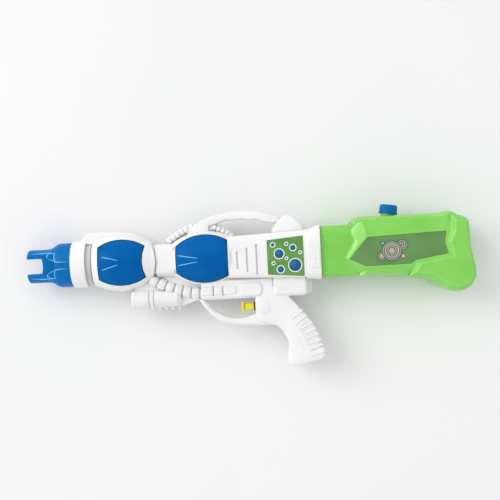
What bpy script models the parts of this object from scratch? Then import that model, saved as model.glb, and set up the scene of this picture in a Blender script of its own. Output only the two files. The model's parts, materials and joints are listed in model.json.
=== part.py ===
# A trigger-pumped water squirter, lying on its right side. Sizes are in metres.
# While it is modelled, the barrel's axis is the x axis, from the muzzle back to the butt, y points up
# through the carry handle, z points out of the left side, and the shell halves meet at z = 0.
# At the end everything is moved so that the origin is under the middle of the squirter.
import math

import bmesh
import bpy
from mathutils import Matrix, Vector

# Walls and fits
WALL = 0.0025
FIT = 0.0003
SLIDE_FIT = 0.0004
SHELL_SPLIT = 0.0003

# Barrel, front to back
COLLAR_LENGTH = 0.0185
COLLAR_RADIUS = 0.030
COLLAR_EDGE = 0.002
BAND_LENGTH = 0.0085
BAND_RADIUS = 0.026
FRONT_RIM_LENGTH = 0.008
FRONT_WINDOW_LENGTH = 0.059
FRONT_HOUSING_RADIUS = 0.037
FRONT_HOUSING_END_RADIUS = 0.028
BOSS_LENGTH = 0.008
BOSS_END_RADIUS = 0.0232
NECK_LENGTH = 0.030
NECK_RADIUS = 0.0205
REAR_RIM_LENGTH = 0.003
REAR_WINDOW_LENGTH = 0.066
REAR_HOUSING_RADIUS = 0.0358
REAR_HOUSING_FRONT_RADIUS = 0.0235
REAR_HOUSING_REAR_RADIUS = 0.029
RECEIVER_FRONT = -0.028
BARREL_DEPTH = 0.87

# Windows for the bulbs: half heights at the front, in the middle and at the rear
FRONT_WINDOW_FRONT_HALF = 0.0205
FRONT_WINDOW_MID_HALF = 0.029
FRONT_WINDOW_REAR_HALF = 0.0197
FRONT_WINDOW_BOW = 0.0035
REAR_WINDOW_FRONT_HALF = 0.0170
REAR_WINDOW_MID_HALF = 0.0305
REAR_WINDOW_REAR_HALF = 0.0225
BULB_SINK = 0.0008
BULB_WALL = 0.002
BULB_LIP = 0.003
BULB_FIT = 0.0004

# Ridge on top of the front housing
RIDGE_TOP = 0.0385
RIDGE_HALF = 0.010
RIDGE_LEAD = 0.0055
RIDGE_RAMP = 0.007

# Nozzle
NOZZLE_BASE_LENGTH = 0.015
NOZZLE_BASE_RADIUS = 0.028
NOZZLE_FLARE_LENGTH = 0.015
PRONG_LENGTH = 0.026
PRONG_RADIUS = 0.0212
PRONG_EDGE = 0.0015
MUZZLE_SLOT_HALF = 0.0095
MUZZLE_SLOT_DEPTH = 0.0180
MUZZLE_SLOT_HOLLOW = 0.0015
NOZZLE_PAD_HEIGHT = 0.0013
NOZZLE_CHANNEL_HALF = 0.004
NOZZLE_FLAT_LENGTH = 0.036
NOZZLE_FLAT_HALF = 0.0126
NOZZLE_POCKET_LENGTH = 0.012
NOZZLE_POCKET_HALF = 0.0125
NOZZLE_POCKET_DEPTH = 0.003
NOZZLE_POCKET_LIP = 0.0005
SPIGOT_RADIUS = 0.0215
SPIGOT_LENGTH = 0.019
SPIGOT_FLANGE_RADIUS = 0.0250
SPIGOT_FLANGE_LENGTH = 0.005
SPIGOT_FLANGE_SETBACK = 0.007

# Jet in the nozzle
JET_RADIUS = 0.0037
JET_LENGTH = 0.012
JET_TIP_RADIUS = 0.0019
JET_TIP_LENGTH = 0.004
JET_ORIFICE_RADIUS = 0.0006
JET_SOCKET_DEPTH = 0.008
JET_SEAL_LENGTH = 0.001

# Receiver, its grooves and its label panel
RECEIVER_LENGTH = 0.098
RECEIVER_FRONT_HALF_HEIGHT = 0.0262
RECEIVER_REAR_HALF_HEIGHT = 0.0298
RECEIVER_HALF_WIDTH = 0.0245
RECEIVER_FRONT_HALF_WIDTH = 0.0232
RECEIVER_CORNER = 0.006
GROOVE_FIRST = 0.0105
GROOVE_PITCH = 0.0122
GROOVE_WIDTH = 0.002
GROOVE_DEPTH = 0.0012
GROOVE_HALF_HEIGHTS = (0.011, 0.015, 0.019)
GROOVE_CENTRE_Y = -0.004
LABEL_LENGTH = 0.0450
LABEL_FRONT_HALF_HEIGHT = 0.0212
LABEL_REAR_HALF_HEIGHT = 0.0252
LABEL_CENTRE_Y = -0.0025
LABEL_SETBACK = 0.0035
LABEL_THICKNESS = 0.0004
LABEL_RECESS = 0.0008

# Lower receiver, rail and the dust cover on it
LOWER_RECEIVER_LENGTH = 0.043
LOWER_RECEIVER_BOTTOM = -0.052
LOWER_RECEIVER_HALF_WIDTH = 0.017
RAIL_FRONT = -0.064
RAIL_TOP = -0.026
RAIL_BOTTOM = -0.0525
RAIL_HALF_WIDTH = 0.0145
COVER_LENGTH = 0.028
COVER_TOP = -0.0335
COVER_BOTTOM = -0.0500
COVER_HEIGHT = 0.002
RAIL_SLOT_COUNT = 3
RAIL_SLOT_PITCH = 0.0128
RAIL_SLOT_WIDTH = 0.002
RAIL_SLOT_HALF_HEIGHT = 0.006
EDGE_ROUND = 0.003

# Canister under the barrel and the keel below it
CANISTER_AXIS_Y = -0.048
CANISTER_RADIUS = 0.012
CANISTER_FRONT = -0.153
CANISTER_LENGTH = 0.064
CANISTER_GROOVES = (0.0215, 0.0275)
CANISTER_GROOVE_DEPTH = 0.0012
KEEL_BOTTOM = -0.0608
KEEL_HALF_WIDTH = 0.006
KEEL_RIDGE_COUNT = 6
KEEL_RIDGE_RADIUS = 0.0022

# Ribbed hoses moulded round the rear housing
LOWER_HOSE_RADIUS = 0.0078
LOWER_HOSE_RIBS = 7
UPPER_HOSE_RADIUS = 0.0045
UPPER_FRONT_HOSE_RIBS = 6
UPPER_REAR_HOSE_RIBS = 5
HOSE_VALLEY = 0.78
HOSE_DEPTH = 1.7

# Carry handle, from the rear housing to the lug over the receiver
HANDLE_RISE = 0.0585
HANDLE_GRIP = 0.0105
HANDLE_HALF_WIDTH = 0.009
HANDLE_EDGE = 0.003
LUG_LENGTH = 0.041
LUG_TOP = 0.050
LUG_HALF_WIDTH = 0.0135
LUG_EDGE = 0.003

# Trigger guard, grip and trigger
GUARD_HALF_WIDTH = 0.008
GUARD_EDGE = 0.0025
GUARD_BOTTOM = -0.0865
GUARD_STRAP = 0.0085
TRIGGER_SETBACK = 0.0665
GRIP_HALF_WIDTH = 0.0148
GRIP_EDGE = 0.004
GRIP_RIB_COUNT = 9
GRIP_RIB_WIDTH = 0.0036
GRIP_RIB_LENGTH = 0.017
GRIP_RIB_HEIGHT = 0.0007
TRIGGER_AXIS_Y = -0.064
TRIGGER_REACH = 0.0175
TRIGGER_FACE_THICKNESS = 0.0028
TRIGGER_FACE_HEIGHT = 0.0135
TRIGGER_FACE_WIDTH = 0.014
TRIGGER_STEM = 0.008
TRIGGER_FLANGE_RADIUS = 0.0098
TRIGGER_FLANGE_THICKNESS = 0.0025
TRIGGER_TRAVEL = 0.012

# Pump
PISTON_ROD_RADIUS = 0.0025
PISTON_RADIUS = 0.0056
PISTON_LENGTH = 0.0055
PISTON_INSET = 0.0012
PISTON_GROOVE_DEPTH = 0.0014
PISTON_GROOVE_LENGTH = 0.0022
CYLINDER_BORE = 0.0060
CYLINDER_RADIUS = 0.0080
CYLINDER_SETBACK = 0.0178
CYLINDER_CHAMBER = 0.0202
CYLINDER_END_WALL = 0.002
CYLINDER_FLANGE_RADIUS = 0.0108
CYLINDER_FLANGE_THICKNESS = 0.0022
SPRING_SEAT = 0.0132
SPRING_WIRE_RADIUS = 0.0005
SPRING_RADIUS = 0.0090
SPRING_COILS = 7
PORT_RADIUS = 0.0028
PORT_BORE = 0.0014

# Valve block above the cylinder
VALVE_BLOCK_LENGTH = 0.021
VALVE_BLOCK_HEIGHT = 0.0115
VALVE_BLOCK_HALF_WIDTH = 0.0062
VALVE_CHAMBER_RADIUS = 0.0032
VALVE_BALL_RADIUS = 0.0022
VALVE_BALL_LIFT = 0.0015
VALVE_SPIGOT_LENGTH = 0.004
VALVE_PLUG_DEPTH = 0.003
VALVE_PLUG_RIM = 0.001

# Tubes
TUBE_RADIUS = 0.0024
TUBE_BORE = 0.0017

# Tank: spigot in the rear collar, neck, body, butt pad
REAR_COLLAR_LENGTH = 0.018
REAR_COLLAR_FRONT_HALF_HEIGHT = 0.031
REAR_COLLAR_REAR_HALF_HEIGHT = 0.0347
REAR_COLLAR_LIFT = 0.0013
REAR_COLLAR_HALF_WIDTH = 0.0268
REAR_COLLAR_CORNER = 0.012
COLLAR_PAD_SETBACK = 0.005
COLLAR_PAD_HEIGHT = 0.0008
COLLAR_PAD_BOTTOM = -0.018
COLLAR_PAD_TOP = 0.007
TANK_WALL = 0.002
TANK_SPIGOT_LENGTH = 0.022
TANK_SPIGOT_HALF_HEIGHT = 0.0285
TANK_SPIGOT_HALF_WIDTH = 0.0195
TANK_GROOVE_DEPTH = 0.002
TANK_GROOVE_LENGTH = 0.005
TANK_GROOVE_SETBACK = 0.009
TANK_NECK_LENGTH = 0.042
TANK_NECK_HALF_HEIGHT = 0.0328
TANK_NECK_HALF_WIDTH = 0.0228
TANK_NECK_CORNER = 0.010
TANK_BODY_LENGTH = 0.152
TANK_TOP = 0.0432
TANK_BOTTOM = -0.0330
TANK_EDGE_HALF = 0.0231
TANK_EDGE_ROUND = 0.006
TANK_PANEL_HALF = 0.0272
BUTT_LENGTH = 0.035
SHELF_LENGTH = 0.045
BUTT_HALF = 0.0315
BUTT_CHAMFER = 0.0055
BUTT_TOE = -0.0563
BUNG_RADIUS = 0.0077
BUNG_FLANGE_RADIUS = 0.0098
BUNG_FLANGE_THICKNESS = 0.003
BUNG_Y = -0.016

# Filler neck and cap
FILLER_SETBACK = 0.0477
FILLER_LEAN = math.radians(8.4)
FILLER_NECK_RADIUS = 0.0092
FILLER_NECK_BORE = 0.0072
FILLER_NECK_HEIGHT = 0.0100
CAP_SEAT = 0.0025
CAP_RADIUS = 0.0112
CAP_WALL = 0.0012
CAP_TOP = 0.002
CAP_EDGE = 0.001
CAP_FLANGE_RADIUS = 0.0122
CAP_FLANGE_HEIGHT = 0.0016
CAP_RIB_COUNT = 24
CAP_RIB_HEIGHT = 0.0006
LINER_THICKNESS = 0.0012

# Screws that hold the shell halves together, driven in from the right side
SCREW_SEAT = 0.006
SCREW_HEAD_RADIUS = 0.0028
SCREW_HEAD_HEIGHT = 0.0018
SCREW_SHANK_RADIUS = 0.00125
SCREW_REACH = 0.0062
SCREW_BOSS_RADIUS = 0.0042

MERGE = 0.000001
WELD = 0.00001
FLAT = math.radians(0.05)
CORNER = "VECTOR"

# Stations along the barrel, worked out from the lengths above
rear_window_front = RECEIVER_FRONT - REAR_WINDOW_LENGTH
rear_rim_front = rear_window_front - REAR_RIM_LENGTH
neck_front = rear_window_front - NECK_LENGTH
front_window_rear = neck_front - BOSS_LENGTH
front_window_front = front_window_rear - FRONT_WINDOW_LENGTH
band_rear = front_window_front - FRONT_RIM_LENGTH
collar_rear = band_rear - BAND_LENGTH
collar_front = collar_rear - COLLAR_LENGTH
nozzle_base = collar_front - FIT
nozzle_flare = nozzle_base - NOZZLE_BASE_LENGTH
prong_root = nozzle_flare - NOZZLE_FLARE_LENGTH
muzzle = prong_root - PRONG_LENGTH
slot_floor = muzzle + MUZZLE_SLOT_DEPTH
receiver_rear = RECEIVER_FRONT + RECEIVER_LENGTH
rail_rear = receiver_rear - LOWER_RECEIVER_LENGTH + 0.6 * WALL
trigger_wall = receiver_rear - TRIGGER_SETBACK
collar_end = receiver_rear + REAR_COLLAR_LENGTH
tank_front = collar_end + FIT
tank_shoulder = tank_front + TANK_NECK_LENGTH
butt_end = tank_shoulder + TANK_BODY_LENGTH
butt_front = butt_end - BUTT_LENGTH
shelf_front = butt_front - SHELF_LENGTH
spigot_front = tank_front - TANK_SPIGOT_LENGTH

for old in list(bpy.data.objects):
    bpy.data.objects.remove(old, do_unlink=True)
parts = bpy.data.collections.new("water_squirter")
tools = bpy.data.collections.new("cutters")
bpy.context.scene.collection.children.link(parts)
bpy.context.scene.collection.children.link(tools)
root = bpy.data.objects.new("water_squirter_origin", None)
parts.objects.link(root)


def add(name, data):
    obj = bpy.data.objects.new(name, data)
    obj.hide_render = True
    obj.display_type = "WIRE"
    tools.objects.link(obj)
    return obj


def tidy(mesh):
    """Weld a new shape's seams and turn its faces outwards."""
    shape = bmesh.new()
    shape.from_mesh(mesh)
    bmesh.ops.remove_doubles(shape, verts=shape.verts, dist=MERGE)
    bmesh.ops.recalc_face_normals(shape, faces=shape.faces)
    shape.to_mesh(mesh)
    shape.free()


def evaluated_mesh(obj):
    bpy.context.view_layer.update()
    graph = bpy.context.evaluated_depsgraph_get()
    return bpy.data.meshes.new_from_object(obj.evaluated_get(graph))


def bake(obj):
    """Replace an object's mesh by what its modifiers make of it, without slivers."""
    mesh = evaluated_mesh(obj)
    shape = bmesh.new()
    shape.from_mesh(mesh)
    bmesh.ops.remove_doubles(shape, verts=shape.verts, dist=MERGE)
    bmesh.ops.dissolve_degenerate(shape, edges=shape.edges, dist=MERGE)
    shape.to_mesh(mesh)
    shape.free()
    obj.modifiers.clear()
    obj.data = mesh


def combine(target, tool, operation):
    """Join a tool to a target, or cut it out of it, and use the tool up."""
    boolean = target.modifiers.new(operation, "BOOLEAN")
    boolean.operation = operation
    boolean.solver = "EXACT"
    boolean.object = tool
    bake(target)
    bpy.data.objects.remove(tool, do_unlink=True)
    return target


def join(target, *others):
    for other in others:
        combine(target, other, "UNION")
    return target


def cut(target, *cutters):
    for cutter in cutters:
        combine(target, cutter, "DIFFERENCE")
    return target


def common(target, *others):
    for other in others:
        combine(target, other, "INTERSECT")
    return target


def copy_of(obj, name):
    return add(name, obj.data.copy())


def moved(obj, x=0.0, y=0.0, z=0.0):
    obj.data.transform(Matrix.Translation((x, y, z)))
    return obj


def mirrored(obj, name):
    """The same shape on the other side of the plane z = 0."""
    twin = copy_of(obj, name)
    twin.data.transform(Matrix.Scale(-1.0, 4, (0, 0, 1)))
    twin.data.flip_normals()
    return twin


def block(name, low, high, edge=0.0, edge_steps=1):
    shape = bmesh.new()
    bmesh.ops.create_cube(shape, size=1.0)
    size = Vector(high) - Vector(low)
    bmesh.ops.scale(shape, vec=size, verts=shape.verts)
    bmesh.ops.translate(shape, vec=(Vector(low) + Vector(high)) / 2, verts=shape.verts)
    mesh = bpy.data.meshes.new(name)
    shape.to_mesh(mesh)
    shape.free()
    obj = add(name, mesh)
    if edge:
        bevel = obj.modifiers.new("edge", "BEVEL")
        bevel.width = edge
        bevel.segments = edge_steps
        bake(obj)
    return obj


def rod(name, start, end, radius, sides=24):
    """A cylinder between two points."""
    run = Vector(end) - Vector(start)
    shape = bmesh.new()
    bmesh.ops.create_cone(
        shape, cap_ends=True, segments=sides, radius1=radius, radius2=radius, depth=run.length
    )
    turn = Vector((0, 0, 1)).rotation_difference(run).to_matrix().to_4x4()
    off_seam = Matrix.Rotation(math.pi / (3 * sides), 4, "Z")
    place = Matrix.Translation((Vector(start) + Vector(end)) / 2) @ turn @ off_seam
    bmesh.ops.transform(shape, matrix=place, verts=shape.verts)
    mesh = bpy.data.meshes.new(name)
    shape.to_mesh(mesh)
    shape.free()
    return add(name, mesh)


def ball(name, centre, radius):
    shape = bmesh.new()
    bmesh.ops.create_uvsphere(shape, u_segments=10, v_segments=6, radius=radius)
    bmesh.ops.translate(shape, vec=Vector(centre), verts=shape.verts)
    mesh = bpy.data.meshes.new(name)
    shape.to_mesh(mesh)
    shape.free()
    return add(name, mesh)


def turned(name, profile, steps=24, depth=1.0, ring=False):
    """Turn (x, radius) points about the x axis, and flatten the shape in z. A ring stays off the axis."""
    points = list(profile)
    if not ring:
        points = [(points[0][0], 0.0)] + points + [(points[-1][0], 0.0)]
    edges = [(i, i + 1) for i in range(len(points) - 1)]
    if ring:
        edges.append((len(points) - 1, 0))
    mesh = bpy.data.meshes.new(name)
    mesh.from_pydata([(x, radius, 0.0) for x, radius in points], edges, [])
    obj = add(name, mesh)
    screw = obj.modifiers.new("turn", "SCREW")
    screw.axis = "X"
    screw.steps = steps
    screw.render_steps = steps
    screw.use_merge_vertices = True
    screw.merge_threshold = MERGE
    bake(obj)
    obj.data.transform(Matrix.Scale(depth, 4, (0, 0, 1)))
    tidy(obj.data)
    return obj


def plate(name, points, half, edge=0.0, inset=0.0, steps=3, edge_steps=1):
    """Extrude an outline both ways in z, with rounded edges. Points are smooth unless marked as corners."""
    curve = bpy.data.curves.new(name, "CURVE")
    curve.dimensions = "2D"
    curve.fill_mode = "BOTH"
    curve.resolution_u = steps
    curve.extrude = half - edge
    curve.bevel_depth = edge
    curve.bevel_resolution = edge_steps
    curve.offset = -(edge + inset)
    spline = curve.splines.new("BEZIER")
    spline.bezier_points.add(len(points) - 1)
    spline.use_cyclic_u = True
    for knot, point in zip(spline.bezier_points, points):
        knot.co = (point[0], point[1], 0.0)
        handle = point[2] if len(point) > 2 else "AUTO"
        knot.handle_left_type = handle
        knot.handle_right_type = handle
    drawn = add(name, curve)
    mesh = evaluated_mesh(drawn)
    bpy.data.objects.remove(drawn, do_unlink=True)
    tidy(mesh)
    return add(name, mesh)


def polygon(points):
    return [(x, y, CORNER) for x, y in points]


def loft(name, loops):
    """Skin a row of loops that have the same number of points, and close both ends."""
    shape = bmesh.new()
    rows = [[shape.verts.new(point) for point in loop] for loop in loops]
    count = len(loops[0])
    for near, far in zip(rows, rows[1:]):
        for i in range(count):
            j = (i + 1) % count
            shape.faces.new((near[i], near[j], far[j], far[i]))
    shape.faces.new(rows[0])
    shape.faces.new(rows[-1])
    mesh = bpy.data.meshes.new(name)
    shape.to_mesh(mesh)
    shape.free()
    tidy(mesh)
    return add(name, mesh)


def rounded_section(x, centre_y, half_height, half_width, corner, corner_steps=3):
    """A rounded rectangle across the barrel."""
    points = []
    for side_y, side_z, start in ((1, 1, 0.0), (-1, 1, 0.5), (-1, -1, 1.0), (1, -1, 1.5)):
        middle_y = centre_y + side_y * (half_height - corner)
        middle_z = side_z * (half_width - corner)
        for i in range(corner_steps + 1):
            angle = math.pi * (start + 0.5 * i / corner_steps)
            points.append((x, middle_y + corner * math.cos(angle), middle_z + corner * math.sin(angle)))
    return points


def smooth_route(points, per_span):
    """Points along a smooth curve through the route's own points."""
    ends = [points[0]] + list(points) + [points[-1]]
    spots = [Vector(point) for point in ends]
    route = []
    for a, b, c, d in zip(spots, spots[1:], spots[2:], spots[3:]):
        for i in range(per_span):
            t = i / per_span
            bend = (2 * a - 5 * b + 4 * c - d) * t**2 + (3 * b - a - 3 * c + d) * t**3
            route.append(0.5 * (2 * b + (c - a) * t + bend))
    route.append(spots[-1])
    return route


def tube(name, route, radius, swell=None, sides=2):
    """A round bar along a route, swelling by a factor at each point where one is given."""
    curve = bpy.data.curves.new(name, "CURVE")
    curve.dimensions = "3D"
    curve.bevel_depth = radius
    curve.bevel_resolution = sides
    curve.use_fill_caps = True
    spline = curve.splines.new("POLY")
    spline.points.add(len(route) - 1)
    for i, point in enumerate(route):
        spline.points[i].co = (*point, 1.0)
        if swell:
            spline.points[i].radius = swell[i]
    drawn = add(name, curve)
    mesh = evaluated_mesh(drawn)
    bpy.data.objects.remove(drawn, do_unlink=True)
    tidy(mesh)
    return add(name, mesh)


def hose(name, route):
    """A tube with its bore cut through, open at both ends."""
    first = route[0] + (route[0] - route[1]).normalized() * TUBE_BORE
    last = route[-1] + (route[-1] - route[-2]).normalized() * TUBE_BORE
    bore = tube(name + "_bore", [first] + route[1:-1] + [last], TUBE_BORE, sides=1)
    return cut(tube(name, route, TUBE_RADIUS), bore)


def arc_through(a, b, c, count):
    """Points on the arc from a through b to c."""
    (ax, ay), (bx, by), (cx, cy) = a, b, c
    spread = 2 * (ax * (by - cy) + bx * (cy - ay) + cx * (ay - by))
    a2, b2, c2 = ax**2 + ay**2, bx**2 + by**2, cx**2 + cy**2
    mid_x = (a2 * (by - cy) + b2 * (cy - ay) + c2 * (ay - by)) / spread
    mid_y = (a2 * (cx - bx) + b2 * (ax - cx) + c2 * (bx - ax)) / spread
    radius = math.hypot(ax - mid_x, ay - mid_y)
    start = math.atan2(ay - mid_y, ax - mid_x)
    turn = math.atan2(cy - mid_y, cx - mid_x) - start
    turn = (turn + math.pi) % (2 * math.pi) - math.pi
    angles = [start + turn * i / count for i in range(count + 1)]
    return [(mid_x + radius * math.cos(angle), mid_y + radius * math.sin(angle)) for angle in angles]


def inset_loop(points, distance):
    """Move each side of a clockwise or counter-clockwise polygon inwards."""
    area = sum(a[0] * b[1] - b[0] * a[1] for a, b in zip(points, points[1:] + points[:1]))
    inward = distance if area > 0 else -distance
    moved_points = []
    for before, here, after in zip(points[-1:] + points[:-1], points, points[1:] + points[:1]):
        into = Vector((here[0] - before[0], here[1] - before[1])).normalized()
        out = Vector((after[0] - here[0], after[1] - here[1])).normalized()
        normal = Vector((-into.y - out.y, into.x + out.x)).normalized()
        reach = inward / max(0.3, normal.dot(Vector((-out.y, out.x))))
        moved_points.append((here[0] + normal.x * reach, here[1] + normal.y * reach))
    return moved_points


def at_depth(points, z):
    return [(x, y, z) for x, y in points]


def material(name, colour, roughness, metallic=0.0):
    paint = bpy.data.materials.new(name)
    paint.use_nodes = True
    shader = paint.node_tree.nodes["Principled BSDF"]
    shader.inputs["Base Color"].default_value = (*colour, 1.0)
    shader.inputs["Roughness"].default_value = roughness
    shader.inputs["Metallic"].default_value = metallic
    return paint


def finish(obj, name, paint):
    """Make a shape one of the squirter's pieces, with its flat faces whole."""
    shape = bmesh.new()
    shape.from_mesh(obj.data)
    bmesh.ops.remove_doubles(shape, verts=shape.verts, dist=WELD)
    bmesh.ops.dissolve_degenerate(shape, edges=shape.edges, dist=WELD)
    bmesh.ops.dissolve_limit(shape, angle_limit=FLAT, verts=shape.verts, edges=shape.edges)
    shape.to_mesh(obj.data)
    shape.free()
    tools.objects.unlink(obj)
    parts.objects.link(obj)
    obj.name = name
    obj.data.name = name
    obj.hide_render = False
    obj.display_type = "TEXTURED"
    obj.parent = root
    obj.data.materials.clear()
    obj.data.materials.append(paint)
    obj.data.shade_smooth()
    obj.data.set_sharp_from_angle(angle=math.radians(35))
    return obj


white = material("white_plastic", (0.83, 0.83, 0.82), 0.35)
blue = material("blue_plastic", (0.0, 0.135, 0.47), 0.3)
green = material("green_plastic", (0.22, 0.66, 0.10), 0.35)
yellow = material("yellow_plastic", (0.95, 0.85, 0.06), 0.35)
film = material("label_film", (0.11, 0.26, 0.06), 0.4)
clear_tube = material("tube_vinyl", (0.75, 0.78, 0.78), 0.3)
natural = material("natural_plastic", (0.72, 0.72, 0.68), 0.45)
rubber = material("black_rubber", (0.03, 0.03, 0.03), 0.6)
steel = material("steel", (0.55, 0.55, 0.57), 0.3, 1.0)


def front_housing(sink=0.0):
    middle = (band_rear + front_window_rear) / 2
    return arc_through(
        (band_rear, FRONT_HOUSING_END_RADIUS - sink),
        (middle, FRONT_HOUSING_RADIUS - sink),
        (front_window_rear, FRONT_HOUSING_END_RADIUS - sink),
        6,
    )


def rear_housing(sink=0.0):
    middle = (rear_rim_front + RECEIVER_FRONT + REAR_RIM_LENGTH) / 2
    return arc_through(
        (rear_rim_front, REAR_HOUSING_FRONT_RADIUS - sink),
        (middle, REAR_HOUSING_RADIUS - sink),
        (RECEIVER_FRONT + REAR_RIM_LENGTH, REAR_HOUSING_REAR_RADIUS - sink),
        6,
    )


def room(housing, gap=0.0):
    """The hollow behind a housing's wall, or with a gap a shape that fits in it."""
    arc = housing(WALL + gap)[::2]
    (first_x, first_radius), (next_x, next_radius) = arc[:2]
    start = first_x + WALL + gap
    share = (start - first_x) / (next_x - first_x)
    return [(start, first_radius + share * (next_radius - first_radius))] + arc[1:]


def window_outline(front, rear, front_half, mid_half, rear_half, bow=0.0):
    """Bulging top and bottom edges, and a rear edge that bows into the window."""
    top = arc_through((front, front_half), ((front + rear) / 2, mid_half), (rear, rear_half), 8)
    bottom = [(x, -y) for x, y in reversed(top)]
    if bow:
        top += arc_through((rear, rear_half), (rear - bow, 0.0), (rear, -rear_half), 4)[1:-1]
    return polygon(top + bottom)


front_window = window_outline(
    front_window_front, front_window_rear,
    FRONT_WINDOW_FRONT_HALF, FRONT_WINDOW_MID_HALF, FRONT_WINDOW_REAR_HALF, FRONT_WINDOW_BOW,
)
rear_window = window_outline(
    rear_window_front, RECEIVER_FRONT,
    REAR_WINDOW_FRONT_HALF, REAR_WINDOW_MID_HALF, REAR_WINDOW_REAR_HALF,
)
flange_front = collar_front + SPIGOT_FLANGE_SETBACK
flange_rear = flange_front + SPIGOT_FLANGE_LENGTH
bulkhead = (neck_front + rear_window_front) / 2


def barrel_profile():
    boss = arc_through(
        (front_window_rear, FRONT_HOUSING_END_RADIUS),
        (front_window_rear + 0.65 * BOSS_LENGTH, (FRONT_HOUSING_END_RADIUS + BOSS_END_RADIUS) / 2 + 0.001),
        (neck_front, BOSS_END_RADIUS),
        2,
    )
    return [
        (collar_front, COLLAR_RADIUS - COLLAR_EDGE),
        (collar_front + COLLAR_EDGE, COLLAR_RADIUS),
        (collar_rear, COLLAR_RADIUS),
        (collar_rear, BAND_RADIUS),
        (band_rear, BAND_RADIUS),
        *front_housing(),
        *boss[1:],
        (neck_front, NECK_RADIUS),
        (rear_rim_front, NECK_RADIUS),
        *rear_housing(),
    ]


def barrel_cavity():
    bore = SPIGOT_RADIUS + FIT
    groove = SPIGOT_FLANGE_RADIUS + FIT
    tube_hole = (TUBE_RADIUS + FIT) / BARREL_DEPTH
    return [
        (collar_front - WALL, bore),
        (flange_front - FIT, bore),
        (flange_front - FIT, groove),
        (flange_rear + FIT, groove),
        (flange_rear + FIT, bore),
        (band_rear + WALL, bore),
        *room(front_housing),
        (neck_front - WALL, NECK_RADIUS - WALL),
        (bulkhead - WALL / 2, NECK_RADIUS - WALL),
        (bulkhead - WALL / 2, tube_hole),
        (bulkhead + WALL / 2, tube_hole),
        (bulkhead + WALL / 2, NECK_RADIUS - WALL),
        (rear_rim_front + WALL, NECK_RADIUS - WALL),
        *room(rear_housing),
        (RECEIVER_FRONT + 3 * WALL, REAR_HOUSING_REAR_RADIUS - 2 * WALL),
    ]


def ridge():
    middle = (band_rear + front_window_rear) / 2
    points = [
        (collar_rear - RIDGE_LEAD, BAND_RADIUS - WALL, CORNER),
        (collar_rear - RIDGE_LEAD, COLLAR_RADIUS, CORNER),
        (collar_rear - RIDGE_LEAD + RIDGE_RAMP, RIDGE_TOP, CORNER),
        (middle, RIDGE_TOP),
        (front_window_rear - WALL, FRONT_HOUSING_END_RADIUS + WALL),
        (front_window_rear + WALL, BOSS_END_RADIUS, CORNER),
        (front_window_rear, NECK_RADIUS, CORNER),
    ]
    return plate("ridge", points, RIDGE_HALF, edge=0.002, steps=2, edge_steps=0)


def receiver(inset=0.0):
    front = RECEIVER_FRONT + (inset or -REAR_RIM_LENGTH / 2)
    flat = receiver_rear - LABEL_SETBACK - LABEL_LENGTH - 2 * LABEL_SETBACK
    rear = receiver_rear + (REAR_RIM_LENGTH if not inset else 0.0)
    rise = (RECEIVER_REAR_HALF_HEIGHT - RECEIVER_FRONT_HALF_HEIGHT) / RECEIVER_LENGTH
    flat_half = RECEIVER_FRONT_HALF_HEIGHT + rise * (flat - RECEIVER_FRONT)
    stations = (
        (front, RECEIVER_FRONT_HALF_HEIGHT, RECEIVER_FRONT_HALF_WIDTH),
        (flat, flat_half, RECEIVER_HALF_WIDTH),
        (rear, RECEIVER_REAR_HALF_HEIGHT, RECEIVER_HALF_WIDTH),
    )
    loops = [
        rounded_section(x, 0.0, high - inset, wide - inset, RECEIVER_CORNER) for x, high, wide in stations
    ]
    return loft("receiver", loops)


def rear_collar():
    front_half = REAR_COLLAR_FRONT_HALF_HEIGHT
    rear_half = REAR_COLLAR_REAR_HALF_HEIGHT
    wide = REAR_COLLAR_HALF_WIDTH
    corner = REAR_COLLAR_CORNER
    return loft("rear_collar", [
        rounded_section(receiver_rear - FIT, -REAR_COLLAR_LIFT, front_half, wide - WALL / 2, corner),
        rounded_section(receiver_rear + WALL, -REAR_COLLAR_LIFT / 2, front_half, wide, corner),
        rounded_section(collar_end, REAR_COLLAR_LIFT, rear_half, wide, corner),
    ])


def tank_spigot(gap=0.0, front=spigot_front, rear=tank_front):
    """The tank's plug, or with a gap the socket that it fits in, with a rib in its groove."""
    groove_front = spigot_front + TANK_GROOVE_SETBACK + gap
    groove_rear = spigot_front + TANK_GROOVE_SETBACK + TANK_GROOVE_LENGTH - gap
    high = TANK_SPIGOT_HALF_HEIGHT + gap
    wide = TANK_SPIGOT_HALF_WIDTH + gap
    stations = (
        (front, 0.0), (groove_front, 0.0), (groove_front, TANK_GROOVE_DEPTH),
        (groove_rear, TANK_GROOVE_DEPTH), (groove_rear, 0.0), (rear, 0.0),
    )
    return loft("tank_spigot", [
        rounded_section(x, REAR_COLLAR_LIFT, high - deep, wide - deep, TANK_NECK_CORNER - WALL)
        for x, deep in stations
    ])


handle_front = rear_window_front + 0.2 * REAR_WINDOW_LENGTH
lug_front = receiver_rear - LUG_LENGTH


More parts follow.
